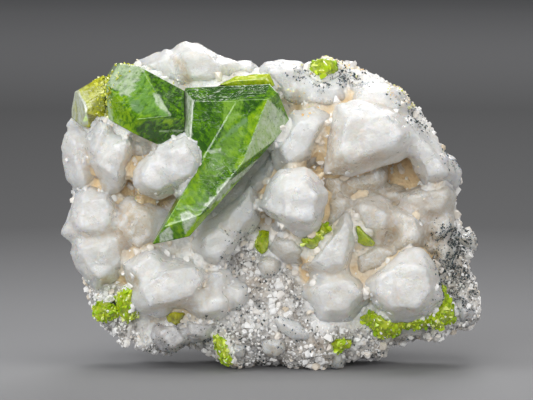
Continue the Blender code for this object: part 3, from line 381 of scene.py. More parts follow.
def zone(places, outline, soft=0.4, ragged=0.0):
    """How much each place lies inside an outline drawn in (u, v), from 0 to 1 over the soft border."""
    u, v = shown_at(places)
    corners = np.array(outline)
    reach = soft + ragged
    near = ((u > corners[:, 0].min() - reach) & (u < corners[:, 0].max() + reach)
            & (v > corners[:, 1].min() - reach) & (v < corners[:, 1].max() + reach))
    u, v = u[near], v[near]
    if ragged:
        drift = np.array([waver.noise_vector(Vector(place) * 900) for place in places[near]]).reshape(-1, 3)
        u, v = u + ragged * drift[:, 0], v + ragged * drift[:, 1]
    inside = np.zeros(len(u), dtype=bool)
    nearest = np.full(len(u), 1e9)
    for (u0, v0), (u1, v1) in zip(outline, outline[1:] + outline[:1]):
        du, dv = u1 - u0, v1 - v0
        along = np.clip(((u - u0) * du + (v - v0) * dv) / (du * du + dv * dv), 0, 1)
        nearest = np.minimum(nearest, np.hypot(u - u0 - along * du, v - v0 - along * dv))
        if v0 != v1:
            inside ^= ((v0 > v) != (v1 > v)) & (u < u0 + (v - v0) * du / (v1 - v0))
    share = np.zeros(len(places))
    share[near] = np.clip(0.5 + np.where(inside, nearest, -nearest) / soft, 0, 1)
    return share


def strongest(places, zones, **border):
    """The strongest zone at each place, of zones that say their strength, perhaps their own border, and outline."""
    share = np.zeros(len(places))
    for strength, *own_border, outline in zones:
        share = np.maximum(share, strength * zone(places, outline, *own_border, **border))
    return share


# Where the rock lies open and granular in front: along the foot with both ends of it, the hollow at the
# middle, and the edge low on the left.
FOOT = ((-32.5, 4.8), (-25.5, 13.2), (-16.2, 13.2), (-5.0, 17.8), (-2.0, 20.8), (7.5, 17.8), (12.5, 10.2),
        (22.5, 11.2), (37.5, 8.8), (41.5, 17.0), (41.0, 38.0), (53.0, 38.0), (53.5, 8.2), (20.5, -2.2), (-20.5, -2.2))
MIDDLE_HOLLOW = ((-11.0, 35.2), (-5.0, 37.2), (-2.0, 32.8), (-2.0, 25.2), (4.0, 25.8), (9.5, 19.8), (7.5, 10.2),
                 (-5.0, 12.8), (-6.0, 20.2), (-12.5, 25.2))
LEFT_EDGE = ((-47.5, 22.8), (-41.5, 23.2), (-33.5, 20.2), (-32.5, 4.8), (-37.5, 5.8), (-44.5, 12.8))
GRANULAR_ZONES = [(1, FOOT), (1, MIDDLE_HOLLOW), (1, LEFT_EDGE)]
solids = sorted(frame["nodes"])
titanites = [node for node in solids if node.startswith("titanite")]
ROOM_VOXEL, MASS_VOXEL, ROCK_VOXEL = 0.0006, 0.0007, 0.00068
cutter = remeshed(swelled(remeshed(joined_copy(titanites, "titanite room"), ROOM_VOXEL), 0.0013), ROOM_VOXEL)
swelled(cutter, -0.0012)
mass = remeshed(swelled(remeshed(joined_copy(solids, "grown mass"), MASS_VOXEL), 0.0008), MASS_VOXEL)
swelled(mass, -0.0014)
rock = together(mass, joined_copy(["matrix"], "rock"))
roughened(remeshed(rock, ROCK_VOXEL), wave_depth=0.001, wave_size=0.006, step_depth=0.0005,
          block_depth=-0.0009, block_size=0.0032, lump_depth=-0.0006, lump_size=0.002,
          grain_depth=0.0005, grain_size=0.0007)
room = rock.modifiers.new("room for the titanite", "BOOLEAN")
room.operation = "DIFFERENCE"
room.solver = "MANIFOLD"
room.object = cutter
settled(rock)
bpy.data.objects.remove(cutter)
kept_inside(rock)

# How far a place is raised over the matrix's own solid tells the milky mass from the open, granular rock.
matrix_tree = BVHTree.FromPolygons([v.co for v in frame["nodes"]["matrix"].data.vertices],
                                   [list(f.vertices) for f in frame["nodes"]["matrix"].data.polygons])
grown_over = np.array([matrix_tree.find_nearest(v.co)[3] for v in rock.data.vertices])
rock_places, rock_normals = places_of(rock.data), normals_of(rock.data)
granular = np.where(rock_normals[:, 1] < 0.45, strongest(rock_places, GRANULAR_ZONES, soft=2.0), 1)
border = np.array([0.009 + 0.005 * waver.noise(Vector(place) * 170) for place in rock_places])
front_share = np.clip((border - rock_places[:, 1]) / 0.003, 0, 1)
set_values(rock, "milk", front_share * np.maximum(np.clip((grown_over - 0.0006) / 0.0008, 0, 1), 1 - granular))

rock_material, rock_shader = node_material("granular rock")
rock_tree = rock_material.node_tree
noise, ramp, mix, maths, stored, *_, bump = node_maker(rock_tree)
coords = add_node(rock_tree, "ShaderNodeTexCoord").outputs["Object"]
grain_cells = add_node(rock_tree, "ShaderNodeTexVoronoi", {"Vector": coords, "Scale": 1300})
cell_tone = add_node(rock_tree, "ShaderNodeSeparateColor", {0: grain_cells.outputs["Color"]})
rock_colour = ramp(cell_tone.outputs[0], (0.0, (0.22, 0.21, 0.20)), (0.25, (0.44, 0.42, 0.40)),
                   (0.6, (0.60, 0.58, 0.56)), (1.0, (0.76, 0.75, 0.74)))
rock_colour = mix(ramp(noise(coords, 110, 4, 0.6, 0.8), (0.45, 0.0), (0.6, 0.75)), rock_colour, (0.80, 0.79, 0.77))
rock_colour = mix(ramp(noise(coords, 90, 4), (0.46, 0.0), (0.68, 0.5)), rock_colour, (0.50, 0.40, 0.30))
rock_colour = mix(ramp(noise(coords, 700, 2), (0.58, 0.0), (0.68, 0.7)), rock_colour, (0.07, 0.075, 0.07))
# Painted shade: the milky mass turns cream and tan where it lies deep or faces down, and where iron stains it.
milk_stain_and_shade = maths("MULTIPLY_ADD", noise(coords, 160, 5, 0.6), 0.7, stored("recess"))
milk_colour = ramp(milk_stain_and_shade, (0.36, (0.85, 0.84, 0.82)), (0.66, (0.80, 0.74, 0.65)), (1.0, (0.80, 0.62, 0.38)))
rock_colour = mix(stored("milk"), rock_colour, milk_colour)
rock_tree.links.new(rock_colour, rock_shader.inputs["Base Color"])
rock_shader.inputs["Roughness"].default_value = 0.6
rock_shader.inputs["Subsurface Weight"].default_value = 0.5
rock_shader.inputs["Subsurface Scale"].default_value = 0.0015
rock_shader.inputs["Subsurface Radius"].default_value = (1.0, 0.86, 0.70)
rock_tree.links.new(bump(grain_cells.outputs["Distance"], 0.7, 0.0004), rock_shader.inputs["Normal"])
worn(rock, rock_material)
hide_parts("matrix")
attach(rock, "root")


# The feldspar: blocky, milky crystals that the light soaks into, white where they stand out, with painted
# shade in cream to tan where they lie deep between their neighbours or face down, and iron stains. They are
# grown together in clusters, and their edges are worn soft and their faces stepped and etched.
RECESS_CELL, RECESS_ROWS, RECESS_COLUMNS, RECESS_LEFT = 0.0012, 80, 100, -0.06


def front_depths(meshes):
    """How far to the front the specimen reaches at each place of its face, evened over some millimetres."""
    grid = np.full((RECESS_ROWS, RECESS_COLUMNS), 0.02)
    for mesh in meshes:
        places = places_of(mesh)
        columns = np.clip(((places[:, 0] - RECESS_LEFT) / RECESS_CELL).astype(int), 0, RECESS_COLUMNS - 1)
        rows = np.clip((places[:, 2] / RECESS_CELL).astype(int), 0, RECESS_ROWS - 1)
        np.minimum.at(grid, (rows, columns), places[:, 1])
    spread = np.zeros_like(grid)
    padded = np.pad(grid, 4, mode="edge")
    for row in range(9):
        for column in range(9):
            spread += padded[row:row + RECESS_ROWS, column:column + RECESS_COLUMNS] / 81
    return spread


# Where iron has stained the feldspar cream, tan or brown, as (share, border, outline).
STAINS = [
    (0.5, 2.0, ((-35.5, 60.8), (-29.5, 60.2), (-30.0, 52.8), (-32.5, 51.8), (-35.0, 55.2))),
    (0.8, 1.0, ((-42.5, 48.5), (-44.5, 45.8), (-40.2, 45.0))),
    (0.7, 1.5, ((-34.5, 45.2), (-22.0, 46.2), (-22.5, 39.8), (-32.5, 41.2))),
    (0.6, 3.0, ((-39.2, 42.8), (-27.5, 42.0), (-26.0, 36.2), (-27.5, 30.2), (-37.5, 31.5))),
    (0.55, 1.2, ((13.8, 61.2), (17.0, 61.2), (16.5, 51.2), (13.5, 51.2))),
    (0.8, 2.5, ((28.5, 52.8), (33.5, 53.8), (38.5, 48.8), (37.5, 45.8), (30.0, 45.2), (28.0, 48.8))),
    (0.45, 1.2, ((-24.2, 79.8), (-22.5, 79.2), (-19.0, 71.8), (-21.5, 70.8))),
    (0.45, 2.0, ((19.0, 72.8), (24.5, 72.8), (24.0, 68.8), (19.5, 68.8))),
    (0.9, 1.2, ((6.5, 28.8), (10.8, 28.2), (10.5, 17.8), (7.5, 17.2))),
    (1.0, 1.0, ((-42.5, 23.8), (-33.2, 23.8), (-33.2, 20.2), (-41.5, 20.2))),
    (0.3, 2.0, ((0.5, 70.8), (6.5, 71.2), (13.0, 64.8), (6.0, 62.2), (2.5, 65.8))),
    (0.4, 2.5, ((16.5, 55.2), (28.5, 55.2), (32.5, 53.8), (28.5, 51.2), (15.0, 48.8))),
    (0.35, 2.5, ((-39.0, 60.0), (-33.0, 60.0), (-32.0, 48.0), (-36.0, 47.0))),
    (0.25, 2.5, ((-33.0, 45.0), (-25.0, 46.0), (-24.0, 41.5), (-32.0, 41.0))),
    (0.25, 3.0, ((-16.0, 33.0), (-6.0, 45.0), (-4.0, 40.0), (-12.0, 28.0))),
    (0.3, 2.5, ((12.5, 18.0), (20.0, 17.0), (21.0, 9.0), (13.0, 10.0))),
    (0.5, 1.5, ((-27.5, 32.8), (-20.0, 33.8), (-17.5, 30.2), (-25.0, 28.8))),
    (0.3, 4.0, ((-32.5, 18.8), (-17.5, 17.8), (-7.5, 20.2), (-6.5, 14.8), (-17.5, 12.8), (-30.0, 14.8))),
    (0.4, 2.0, ((28.8, 71.8), (33.5, 70.8), (36.5, 67.2), (34.5, 66.2), (29.5, 68.2))),
]


def add_recess_shade_and_stains(piece, depths):
    """Painted shade with the iron stains: how deep each place lies behind what is around it, and somewhat more where
    it faces down, with the stains laid over it.
    """
    places = places_of(piece.data)
    columns = np.clip((places[:, 0] - RECESS_LEFT) / RECESS_CELL - 0.5, 0, RECESS_COLUMNS - 1.01)
    rows = np.clip(places[:, 2] / RECESS_CELL - 0.5, 0, RECESS_ROWS - 1.01)
    left, low = columns.astype(int), rows.astype(int)
    across, up = columns - left, rows - low
    around = (depths[low, left] * (1 - across) * (1 - up) + depths[low, left + 1] * across * (1 - up)
              + depths[low + 1, left] * (1 - across) * up + depths[low + 1, left + 1] * across * up)
    normals = normals_of(piece.data)
    # Painted shade, deeper in recesses and under faces that turn down.
    recess = (places[:, 1] - around) / 0.010 * np.clip(0.7 - normals[:, 1], 0, 1)
    recess = recess * np.clip((0.010 - places[:, 1]) / 0.006, 0.15, 1) + 0.08 + 0.25 * np.clip(-normals[:, 2], 0, 1)
    stain_and_shade = strongest(places, STAINS, ragged=0.8) * (normals[:, 1] < 0.4)
    set_values(piece, "recess", np.clip(np.maximum(recess, 0.6 * recess + stain_and_shade), 0, 1))


def look_group(name, colours, values):
    """A node group with these inputs and the outputs Colour, Roughness and Normal, for materials to share."""
    tree = bpy.data.node_groups.new(name, "ShaderNodeTree")
    for label in colours:
        tree.interface.new_socket(label, in_out="INPUT", socket_type="NodeSocketColor")
    for label in values:
        tree.interface.new_socket(label, in_out="INPUT", socket_type="NodeSocketFloat")
    for label, kind in (("Colour", "Color"), ("Roughness", "Float"), ("Normal", "Vector")):
        tree.interface.new_socket(label, in_out="OUTPUT", socket_type="NodeSocket" + kind)
    return tree, tree.nodes.new("NodeGroupInput").outputs, tree.nodes.new("NodeGroupOutput").inputs


def feldspar_look():
    """Milky crystal, from white on its open faces through cream to the deep colour, as painted shade where it lies
    deep or faces down and as iron stains.
    """
    tree, given, made = look_group("feldspar look", ("White", "Cream", "Deep"), ("Dust",))
    noise, ramp, mix, maths, stored, stretched, dimmed, bump = node_maker(tree)
    coords = add_node(tree, "ShaderNodeTexCoord").outputs["Object"]
    # Painted shade with iron stains: white turns cream, then the deep colour, in recesses and under downward faces.
    stain_and_shade = maths("MULTIPLY_ADD", noise(coords, 130, 4, 0.55), 0.7, stored("recess"))
    colour = mix(ramp(stain_and_shade, (0.36, 0.0), (0.62, 1.0)), given["White"], given["Cream"])
    colour = mix(ramp(stain_and_shade, (0.62, 0.0), (1.0, 1.0)), colour, given["Deep"])
    cloud = ramp(noise(coords, 240, 5, 0.6, 0.6), (0.42, 0.0), (0.72, 0.55))
    colour = mix(cloud, colour, dimmed(given["Cream"], 0.88))
    milk = ramp(noise(coords, 620, 6, 0.7, 1.2), (0.45, 0.0), (0.64, 0.8))
    colour = mix(milk, colour, (0.95, 0.95, 0.945))
    fine = ramp(noise(stretched(coords, (1, 1, 2.2), (0.3, 0.5, 0)), 1500, 4, 0.7), (0.38, 0.28), (0.52, 0.0))
    colour = mix(fine, colour, dimmed(given["Cream"], 0.75))
    drawn_out = stretched(coords, (1, 1, 0.35), (0.4, 0.7, 0.2))
    streaks = maths("ABSOLUTE", maths("SUBTRACT", noise(drawn_out, 420, 3, 0.5, 1.2), 0.5))
    colour = mix(ramp(streaks, (0.0, 0.6), (0.03, 0.0)), colour, (0.97, 0.97, 0.96))
    dust = maths("MULTIPLY", ramp(noise(coords, 900, 3), (0.42, 0.0), (0.66, 1.0)), given["Dust"])
    tree.links.new(mix(dust, colour, (0.34, 0.32, 0.33)), made["Colour"])
    tree.links.new(ramp(noise(coords, 260, 3), (0.35, 0.24), (0.7, 0.5)), made["Roughness"])
    lines = noise(stretched(coords, (1, 1, 7), (0.2, 0.3, 0)), 300, 3, 0.5)
    etch = maths("MULTIPLY_ADD", lines, 0.8, noise(coords, 1300, 4, 0.65))
    tree.links.new(bump(etch, 0.75, 0.00028), made["Normal"])
    return tree


FELDSPAR_LOOK = feldspar_look()


def looks_like(made, shader, look, **given):
    """Adds the look to a material and joins it to its shader, with the given colours and values set."""
    group = add_node(made.node_tree, "ShaderNodeGroup", given, node_tree=look)
    for output, socket in (("Colour", "Base Color"), ("Roughness", "Roughness"), ("Normal", "Normal")):
        made.node_tree.links.new(group.outputs[output], shader.inputs[socket])


def feldspar_material(name, white, cream, deep, dust=0.0, clear=0.24):
    """One kind of feldspar; light goes some millimetres into it and a little of it goes through."""
    made, shader = node_material(name)
    looks_like(made, shader, FELDSPAR_LOOK, White=white, Cream=cream, Deep=deep, Dust=dust)
    shader.inputs["Subsurface Weight"].default_value = 0.9
    shader.inputs["Subsurface Scale"].default_value = 0.0055
    shader.inputs["Subsurface Radius"].default_value = (1.0, 0.88, 0.74)
    shader.inputs["Coat Weight"].default_value = 0.3
    shader.inputs["Coat Roughness"].default_value = 0.22
    shader.inputs["IOR"].default_value = 1.53
    shader.inputs["Transmission Weight"].default_value = clear
    return made


WHITE = feldspar_material("white feldspar", (0.93, 0.92, 0.90), (0.91, 0.85, 0.76), (0.74, 0.61, 0.45))
COOL = feldspar_material("cool feldspar", (0.925, 0.925, 0.925), (0.91, 0.86, 0.79), (0.72, 0.61, 0.47))
DUSTY = feldspar_material("dusty feldspar", (0.78, 0.76, 0.76), (0.70, 0.65, 0.60), (0.46, 0.38, 0.30), dust=0.5)
CREAM = feldspar_material("cream feldspar", (0.84, 0.78, 0.70), (0.79, 0.70, 0.58), (0.66, 0.52, 0.33))
FELDSPARS = {
    "rounded_pair": COOL, "pointed": COOL, "large_low_right": WHITE, "low_left": WHITE, "slanted": WHITE,
    "arch": COOL, "hollow": CREAM, "below_tip": WHITE, "left": WHITE, "upper_left": WHITE, "pillar": COOL,
    "green_tinted": CREAM, "small_round": CREAM, "chip_middle": CREAM, "foot_left": DUSTY, "top_left": WHITE,
    "top_middle": COOL, "small_blade": WHITE, "cream_block_middle": CREAM, "cream_block_left": CREAM,
    "cream_block_right": CREAM, "right_edge_low": DUSTY, "right_edge_high": CREAM,
}
LUMPY = ("hollow", "cream_block_middle", "right_edge_high")
CREASE_VOXEL, FELDSPAR_VOXEL = 0.0005, 0.00036
CREASE_FILL = 0.0009
feldspars = {}
for kind, surface in FELDSPARS.items():
    node = "feldspar_" + kind
    filled = swelled(remeshed(joined_copy([node], "filled creases"), CREASE_VOXEL), CREASE_FILL)
    filled = swelled(remeshed(filled, CREASE_VOXEL), -CREASE_FILL)
    crystal = together(filled, joined_copy([node], node + "_crystals"))
    lumpy = kind in LUMPY
    roughened(remeshed(crystal, FELDSPAR_VOXEL), 0.5, wave_depth=0.0008, wave_size=0.005,
              step_depth=0.0004 if lumpy else 0.0012, step_size=0.006, block_depth=-0.0009, block_size=0.0045,
              lump_depth=-0.0018 if lumpy else -0.0001, lump_size=0.0052 if lumpy else 0.0016,
              grain_depth=0.00024, grain_size=0.0009)
    kept_inside(crystal)
    worn(crystal, surface)
    feldspars[node] = crystal
depths = front_depths([frame["nodes"][node].data for node in solids] + [c.data for c in feldspars.values()])
add_recess_shade_and_stains(rock, depths)
for node, crystal in feldspars.items():
    add_recess_shade_and_stains(crystal, depths)
    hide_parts(node)
    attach(crystal, "root")


# The titanite: green wedges with flat faces and sharp edges, clear enough for the light to come back out of
# them, veiled inside, with growth lines on the narrow faces. Some faces are bright with painted reflection, a
# pale colour that stands in for the soft boxes mirrored in them. The smallest ones are rounder and lie in swarms.
def facing_front(piece):
    """1 where the surface is turned to the front view and 0 where it is turned away."""
    toward = np.array((0, -math.cos(TILT), math.sin(TILT)))
    return np.clip(normals_of(piece.data) @ toward * 12, 0, 1)


def titanite_look():
    """Green crystal with milky veils, threads and brighter patches that lean along its length, and painted
    reflections in the pale colour, which the threads share.
    """
    tree, given, made = look_group("titanite look", ("Dark", "Green", "Bright", "Milky", "Pale"), ("Lean", "Busy"))
    noise, ramp, mix, maths, stored, stretched, dimmed, bump = node_maker(tree)
    coords = add_node(tree, "ShaderNodeTexCoord").outputs["Object"]
    turn = add_node(tree, "ShaderNodeCombineXYZ", {"Y": given["Lean"]})
    along = stretched(coords, (1, 1, 0.4), turn.outputs[0])
    tone = maths("MULTIPLY_ADD", maths("SUBTRACT", noise(coords, 260, 5, 0.6, 0.8), 0.5), 1.0, 0.5)
    tone = maths("MULTIPLY_ADD", maths("SUBTRACT", noise(along, 1100, 4, 0.65), 0.5), given["Busy"], tone)
    tone = maths("ADD", tone, maths("SUBTRACT", stored("bright"), stored("dark")))
    colour = mix(ramp(tone, (0.2, 0.0), (0.5, 1.0)), given["Dark"], given["Green"])
    colour = mix(ramp(tone, (0.5, 0.0), (0.9, 1.0)), colour, given["Bright"])
    streaks = ramp(noise(along, 520, 6, 0.7, 0.6), (0.36, 0.15), (0.62, 1.0))
    colour = mix(maths("MULTIPLY", stored("milky"), streaks), colour, given["Milky"])
    # Painted reflection: the pale colour where the faces would mirror the soft boxes.
    painted_reflection_share = maths("MULTIPLY", stored("pale"), ramp(noise(along, 900, 5, 0.7), (0.34, 0.3), (0.58, 1.0)))
    colour = mix(painted_reflection_share, colour, given["Pale"])
    colour = mix(stored("veil"), colour, mix(0.2, dimmed(given["Green"], 0.8), (0.65, 0.85, 0.80)))
    specks = ramp(noise(coords, 1700, 3, 0.6), (0.58, 0.0), (0.70, 0.6))
    colour = mix(specks, colour, dimmed(given["Green"], 0.3))
    threads = maths("ABSOLUTE", maths("SUBTRACT", noise(stretched(coords, (0.5, 1, 1.6)), 330, 3, 0.5, 2.4), 0.5))
    patches = maths("MULTIPLY", ramp(noise(coords, 150, 2), (0.5, 0.0), (0.6, 1.0)), 0.3)
    thread_share = maths("MULTIPLY", ramp(threads, (0.0, 0.9), (0.022, 0.0)),
                         maths("MAXIMUM", patches, stored("threads")))
    tree.links.new(mix(thread_share, colour, given["Pale"]), made["Colour"])
    tree.links.new(ramp(noise(coords, 420, 3), (0.4, 0.05), (0.7, 0.2)), made["Roughness"])
    tree.links.new(bump(noise(along, 700, 4, 0.65), 0.2, 0.0002), made["Normal"])
    return tree


TITANITE_LOOK = titanite_look()


def titanite_material(name, dark, green, bright, milky, pale, lean, shine, busy, murk=350):
    """One kind of titanite: part of the light goes through it and is swallowed on the way, red and blue most."""
    made, shader = node_material(name)
    looks_like(made, shader, TITANITE_LOOK, Dark=dark, Green=green, Bright=bright, Milky=milky, Pale=pale, Lean=lean,
               Busy=busy)
    shader.inputs["IOR"].default_value = 1.9
    shader.inputs["Specular IOR Level"].default_value = shine
    shader.inputs["Transmission Weight"].default_value = 0.34
    absorb = add_node(made.node_tree, "ShaderNodeVolumeAbsorption", {"Color": (0.50, 0.80, 0.03), "Density": murk})
    made.node_tree.links.new(absorb.outputs[0], made.node_tree.nodes["Material Output"].inputs["Volume"])
    return made


GREEN = titanite_material("green titanite", (0.025, 0.11, 0.001), (0.12, 0.32, 0.002), (0.36, 0.62, 0.004),
                          (0.32, 0.58, 0.08), (0.90, 0.98, 0.84), 0.6, 0.2, 1.3)
SECOND = titanite_material("mossy green titanite", (0.03, 0.11, 0.002), (0.12, 0.32, 0.003),
                           (0.34, 0.60, 0.005), (0.24, 0.50, 0.11), (0.80, 0.93, 0.70), -0.75, 0.1, 2.2)
OLIVE = titanite_material("olive titanite", (0.26, 0.24, 0.001), (0.62, 0.62, 0.004), (0.92, 0.92, 0.04),
                          (0.78, 0.86, 0.36), (0.94, 1.0, 0.94), 0.2, 0.35, 1.8, 120)
LIME = titanite_material("lime titanite", (0.30, 0.46, 0.003), (0.58, 0.76, 0.006), (0.90, 0.95, 0.05),
                         (0.74, 0.84, 0.36), (0.86, 0.92, 0.74), 0.4, 0.5, 1.8, 60)
# The parts of the large crystals that look different, each given by how strong it is, how wide its soft border
# and how ragged its edge are, and its outline. The pale parts are painted reflections of the soft boxes.
RIGHT_FACE = ((-0.5, 68.0), (4.9, 62.5), (1.5, 58.0), (-7.0, 51.8))
TOP_FACE = ((-21.0, 70.2), (-11.5, 71.9), (-0.2, 72.0), (-1.0, 69.2), (-8.0, 68.1), (-12.0, 67.5), (-19.2, 67.2))
MAIN_ZONES = {
    "pale": [
        (0.95, 0.2, 0.0, ((-21.7, 70.4), (-20.9, 69.8), (-19.1, 67.5), (-19.9, 56.2), (-22.0, 56.0))),
        (0.65, 0.2, 0.0, RIGHT_FACE),
        (0.95, 0.2, 0.0, ((0.5, 55.8), (1.0, 55.2), (-9.0, 47.0), (-9.8, 47.8))),
        (0.85, 0.3, 1.0, ((-9.2, 48.2), (-11.0, 47.8), (-14.0, 44.0), (-16.5, 41.0), (-15.2, 40.8), (-12.0, 43.5),
                          (-9.5, 46.2))),
        (0.85, 0.2, 0.2, ((-22.5, 39.2), (-20.6, 40.2), (-18.1, 38.5), (-21.2, 34.2))),
        (0.95, 0.2, 0.1, ((-27.5, 34.2), (-25.2, 36.2), (-24.2, 34.5), (-24.3, 33.0), (-27.6, 32.1))),
        (0.7, 0.3, 0.2, ((-15.6, 55.2), (-12.0, 55.6), (-12.4, 54.8), (-15.0, 54.4))),
    ],
    "milky": [
        (0.85, 0.2, 0.0, ((-11.6, 67.4), (-6.6, 68.1), (-7.6, 64.0), (-9.0, 62.3), (-11.6, 60.6))),
        (0.45, 1.2, 0.4, ((-12.0, 60.0), (-8.0, 62.0), (-6.0, 60.0), (-8.0, 54.3), (-14.0, 47.0), (-17.0, 47.0),
                          (-15.0, 53.0))),
        (0.25, 1.0, 0.4, ((-14.0, 47.0), (-17.0, 47.0), (-24.0, 38.0), (-23.0, 36.0), (-19.0, 41.0))),
        (0.9, 0.2, 0.0, RIGHT_FACE),
    ],
    "veil": [
        (0.75, 0.3, 0.0, ((-5.9, 63.5), (-5.5, 62.6), (-13.0, 56.6), (-15.0, 54.9), (-9.0, 61.3))),
        (0.35, 0.8, 0.3, ((-14.5, 54.0), (-11.5, 55.5), (-12.5, 50.5), (-15.5, 50.0))),
    ],
    "dark": [
        (0.2, 0.3, 0.0, ((-6.6, 68.1), (-0.9, 68.8), (-2.9, 66.0), (-5.6, 63.7), (-7.4, 63.0))),
        (0.2, 0.15, 0.0, ((-19.4, 67.1), (-11.7, 67.6), (-11.7, 59.6), (-14.7, 54.9), (-16.7, 54.9), (-19.8, 58.0))),
        (0.26, 0.3, 0.0, TOP_FACE),
        (0.55, 1.2, 0.8, ((0.5, 67.2), (4.8, 62.5), (3.5, 60.8), (-0.5, 63.2))),
        (0.35, 0.5, 0.6, ((-14.0, 41.6), (-12.5, 42.6), (-16.0, 38.8), (-18.0, 38.6), (-17.0, 40.4))),
        (0.2, 0.8, 0.5, ((-14.0, 51.0), (-9.0, 54.0), (-9.5, 50.0), (-15.0, 45.0), (-17.5, 45.5))),
        (0.5, 0.25, 0.0, ((3.9, 60.3), (1.4, 55.6), (-20.2, 33.0), (-21.6, 32.6), (0.9, 54.2), (3.2, 58.9))),
    ],
    "bright": [
        (0.2, 0.25, 0.0, ((-5.6, 63.7), (-0.3, 68.4), (-4.3, 59.6), (-7.0, 52.0), (-8.6, 50.6), (-7.9, 54.3),
                          (-5.6, 60.0))),
        (0.15, 1.0, 0.4, ((-22.0, 48.0), (-16.0, 52.0), (-19.0, 42.0), (-27.0, 33.0), (-27.0, 36.0))),
        (0.3, 0.2, 0.0, RIGHT_FACE),
        (0.55, 0.3, 0.0, ((3.5, 60.3), (1.0, 56.0), (-5.8, 48.0), (-14.0, 39.2), (-19.5, 34.2), (-21.5, 33.0),
                          (-20.8, 34.8), (-17.8, 38.4), (-10.0, 45.8), (0.5, 54.8))),
    ],
    "threads": [
        (1.0, 0.3, 0.0, TOP_FACE),
        (0.5, 0.5, 0.0, ((-14.5, 52.5), (-8.5, 54.0), (-9.0, 48.5), (-14.5, 44.0))),
    ],
}
UPPER_LEFT_ZONES = {
    "pale": [
        (0.8, 0.5, 1.2, ((-40.8, 71.4), (-39.1, 76.4), (-35.1, 77.4), (-31.1, 76.0), (-33.7, 72.7), (-33.9, 69.4),
                         (-36.8, 69.0))),
        (0.85, 0.4, 0.3, ((-29.3, 69.4), (-28.0, 69.4), (-24.9, 64.0), (-25.7, 64.3), (-28.4, 66.4))),
        (0.7, 0.3, 0.2, ((-41.2, 71.4), (-40.4, 71.0), (-39.0, 61.6), (-40.4, 62.4))),
        (0.5, 0.15, 0.0, ((-27.7, 60.15), (-21.4, 60.3), (-21.4, 59.9), (-27.7, 59.8))),
    ],
    "milky": [
        (0.9, 0.3, 0.3, ((-36.2, 69.0), (-33.0, 72.7), (-31.1, 75.0), (-29.1, 69.4), (-25.1, 63.8), (-32.4, 63.7),
                         (-34.4, 65.4))),
    ],
    "veil": [
        (0.7, 0.3, 0.2, ((-35.0, 67.4), (-33.0, 68.0), (-31.5, 65.8), (-32.8, 64.4), (-34.4, 65.2))),
    ],
    "dark": [
        (0.2, 0.3, 0.3, ((-33.1, 61.5), (-24.7, 63.4), (-21.4, 62.4), (-21.4, 57.0), (-28.0, 56.4), (-33.0, 58.8))),
        (0.32, 1.2, 0.6, ((-30.5, 60.0), (-21.4, 61.8), (-21.4, 57.0), (-28.0, 56.4), (-32.0, 58.0))),
        (0.22, 0.25, 0.2, ((-31.1, 75.7), (-21.4, 69.9), (-21.4, 62.0), (-24.7, 63.8), (-29.1, 70.3))),
    ],
    "bright": [
        (0.3, 0.2, 0.0, ((-41.2, 71.2), (-37.1, 68.7), (-33.7, 61.3), (-33.0, 58.8), (-39.0, 60.6), (-40.8, 63.0))),
        (0.5, 0.3, 0.3, ((-26.6, 63.0), (-24.6, 63.2), (-24.3, 62.2), (-25.0, 61.6), (-26.4, 62.2))),
    ],
    "threads": [
        (0.5, 0.4, 0.0, ((-40.8, 71.4), (-39.1, 76.4), (-35.1, 77.4), (-31.1, 76.0), (-33.9, 69.4))),
    ],
}
LEFT_EDGE_ZONES = {
    "pale": [
        (0.95, 0.2, 0.3, ((-50.5, 70.4), (-48.0, 70.4), (-45.8, 66.5), (-45.5, 61.8), (-46.5, 60.0), (-50.8, 62.0))),
    ],
    "milky": [
        (0.6, 1.0, 1.2, ((-48.0, 69.8), (-41.0, 73.0), (-41.0, 66.0), (-45.0, 65.0))),
    ],
    "dark": [
        (0.35, 0.3, 0.3, ((-45.8, 64.5), (-42.2, 63.5), (-45.0, 60.8))),
    ],
    "threads": [
        (0.4, 0.4, 0.0, ((-48.0, 69.8), (-41.0, 73.0), (-41.0, 62.0), (-45.0, 61.0))),
    ],
}
TITANITE_ZONES = {"titanite_main": MAIN_ZONES, "titanite_upper_left": UPPER_LEFT_ZONES,
                  "titanite_left_edge": LEFT_EDGE_ZONES}
SWARMS = ("titanite_band_low_right", "titanite_low_left", "titanite_low_left_edge", "titanite_chips_bottom",
          "titanite_chip_right")
TITANITE_COLOURS = {"titanite_main": GREEN, "titanite_upper_left": SECOND, "titanite_left_edge": OLIVE,
                    "titanite_behind_top": LIME, "titanite_olive_low": OLIVE}
LARGE_VOXEL, SWARM_VOXEL, SMALL_VOXEL = 0.00025, 0.00032, 0.0002
for node in titanites:
    large = node in TITANITE_ZONES
    crystal = swelled(joined_copy([node], node + "_crystal"), 0.00018 if large else 0.0)
    remeshed(crystal, LARGE_VOXEL if large else SWARM_VOXEL if node in SWARMS else SMALL_VOXEL)
    if large:
        roughened(crystal, 0.65, step_depth=0.00012, step_size=0.009)
    elif node in SWARMS:
        roughened(crystal, 0.8, wave_depth=0.0006, wave_size=0.003, lump_depth=-0.0008, lump_size=0.0014)
    else:
        roughened(crystal, 0.7, step_depth=0.0006, step_size=0.004, block_depth=-0.0003, block_size=0.003)
    kept_inside(crystal)
    for kind in ("pale", "milky", "veil", "dark", "bright", "threads"):
        zones = TITANITE_ZONES.get(node, {}).get(kind, [])
        set_values(crystal, kind, strongest(places_of(crystal.data), zones) * facing_front(crystal))
    worn(crystal, TITANITE_COLOURS.get(node, LIME))
    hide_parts(node)
    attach(crystal, "root")


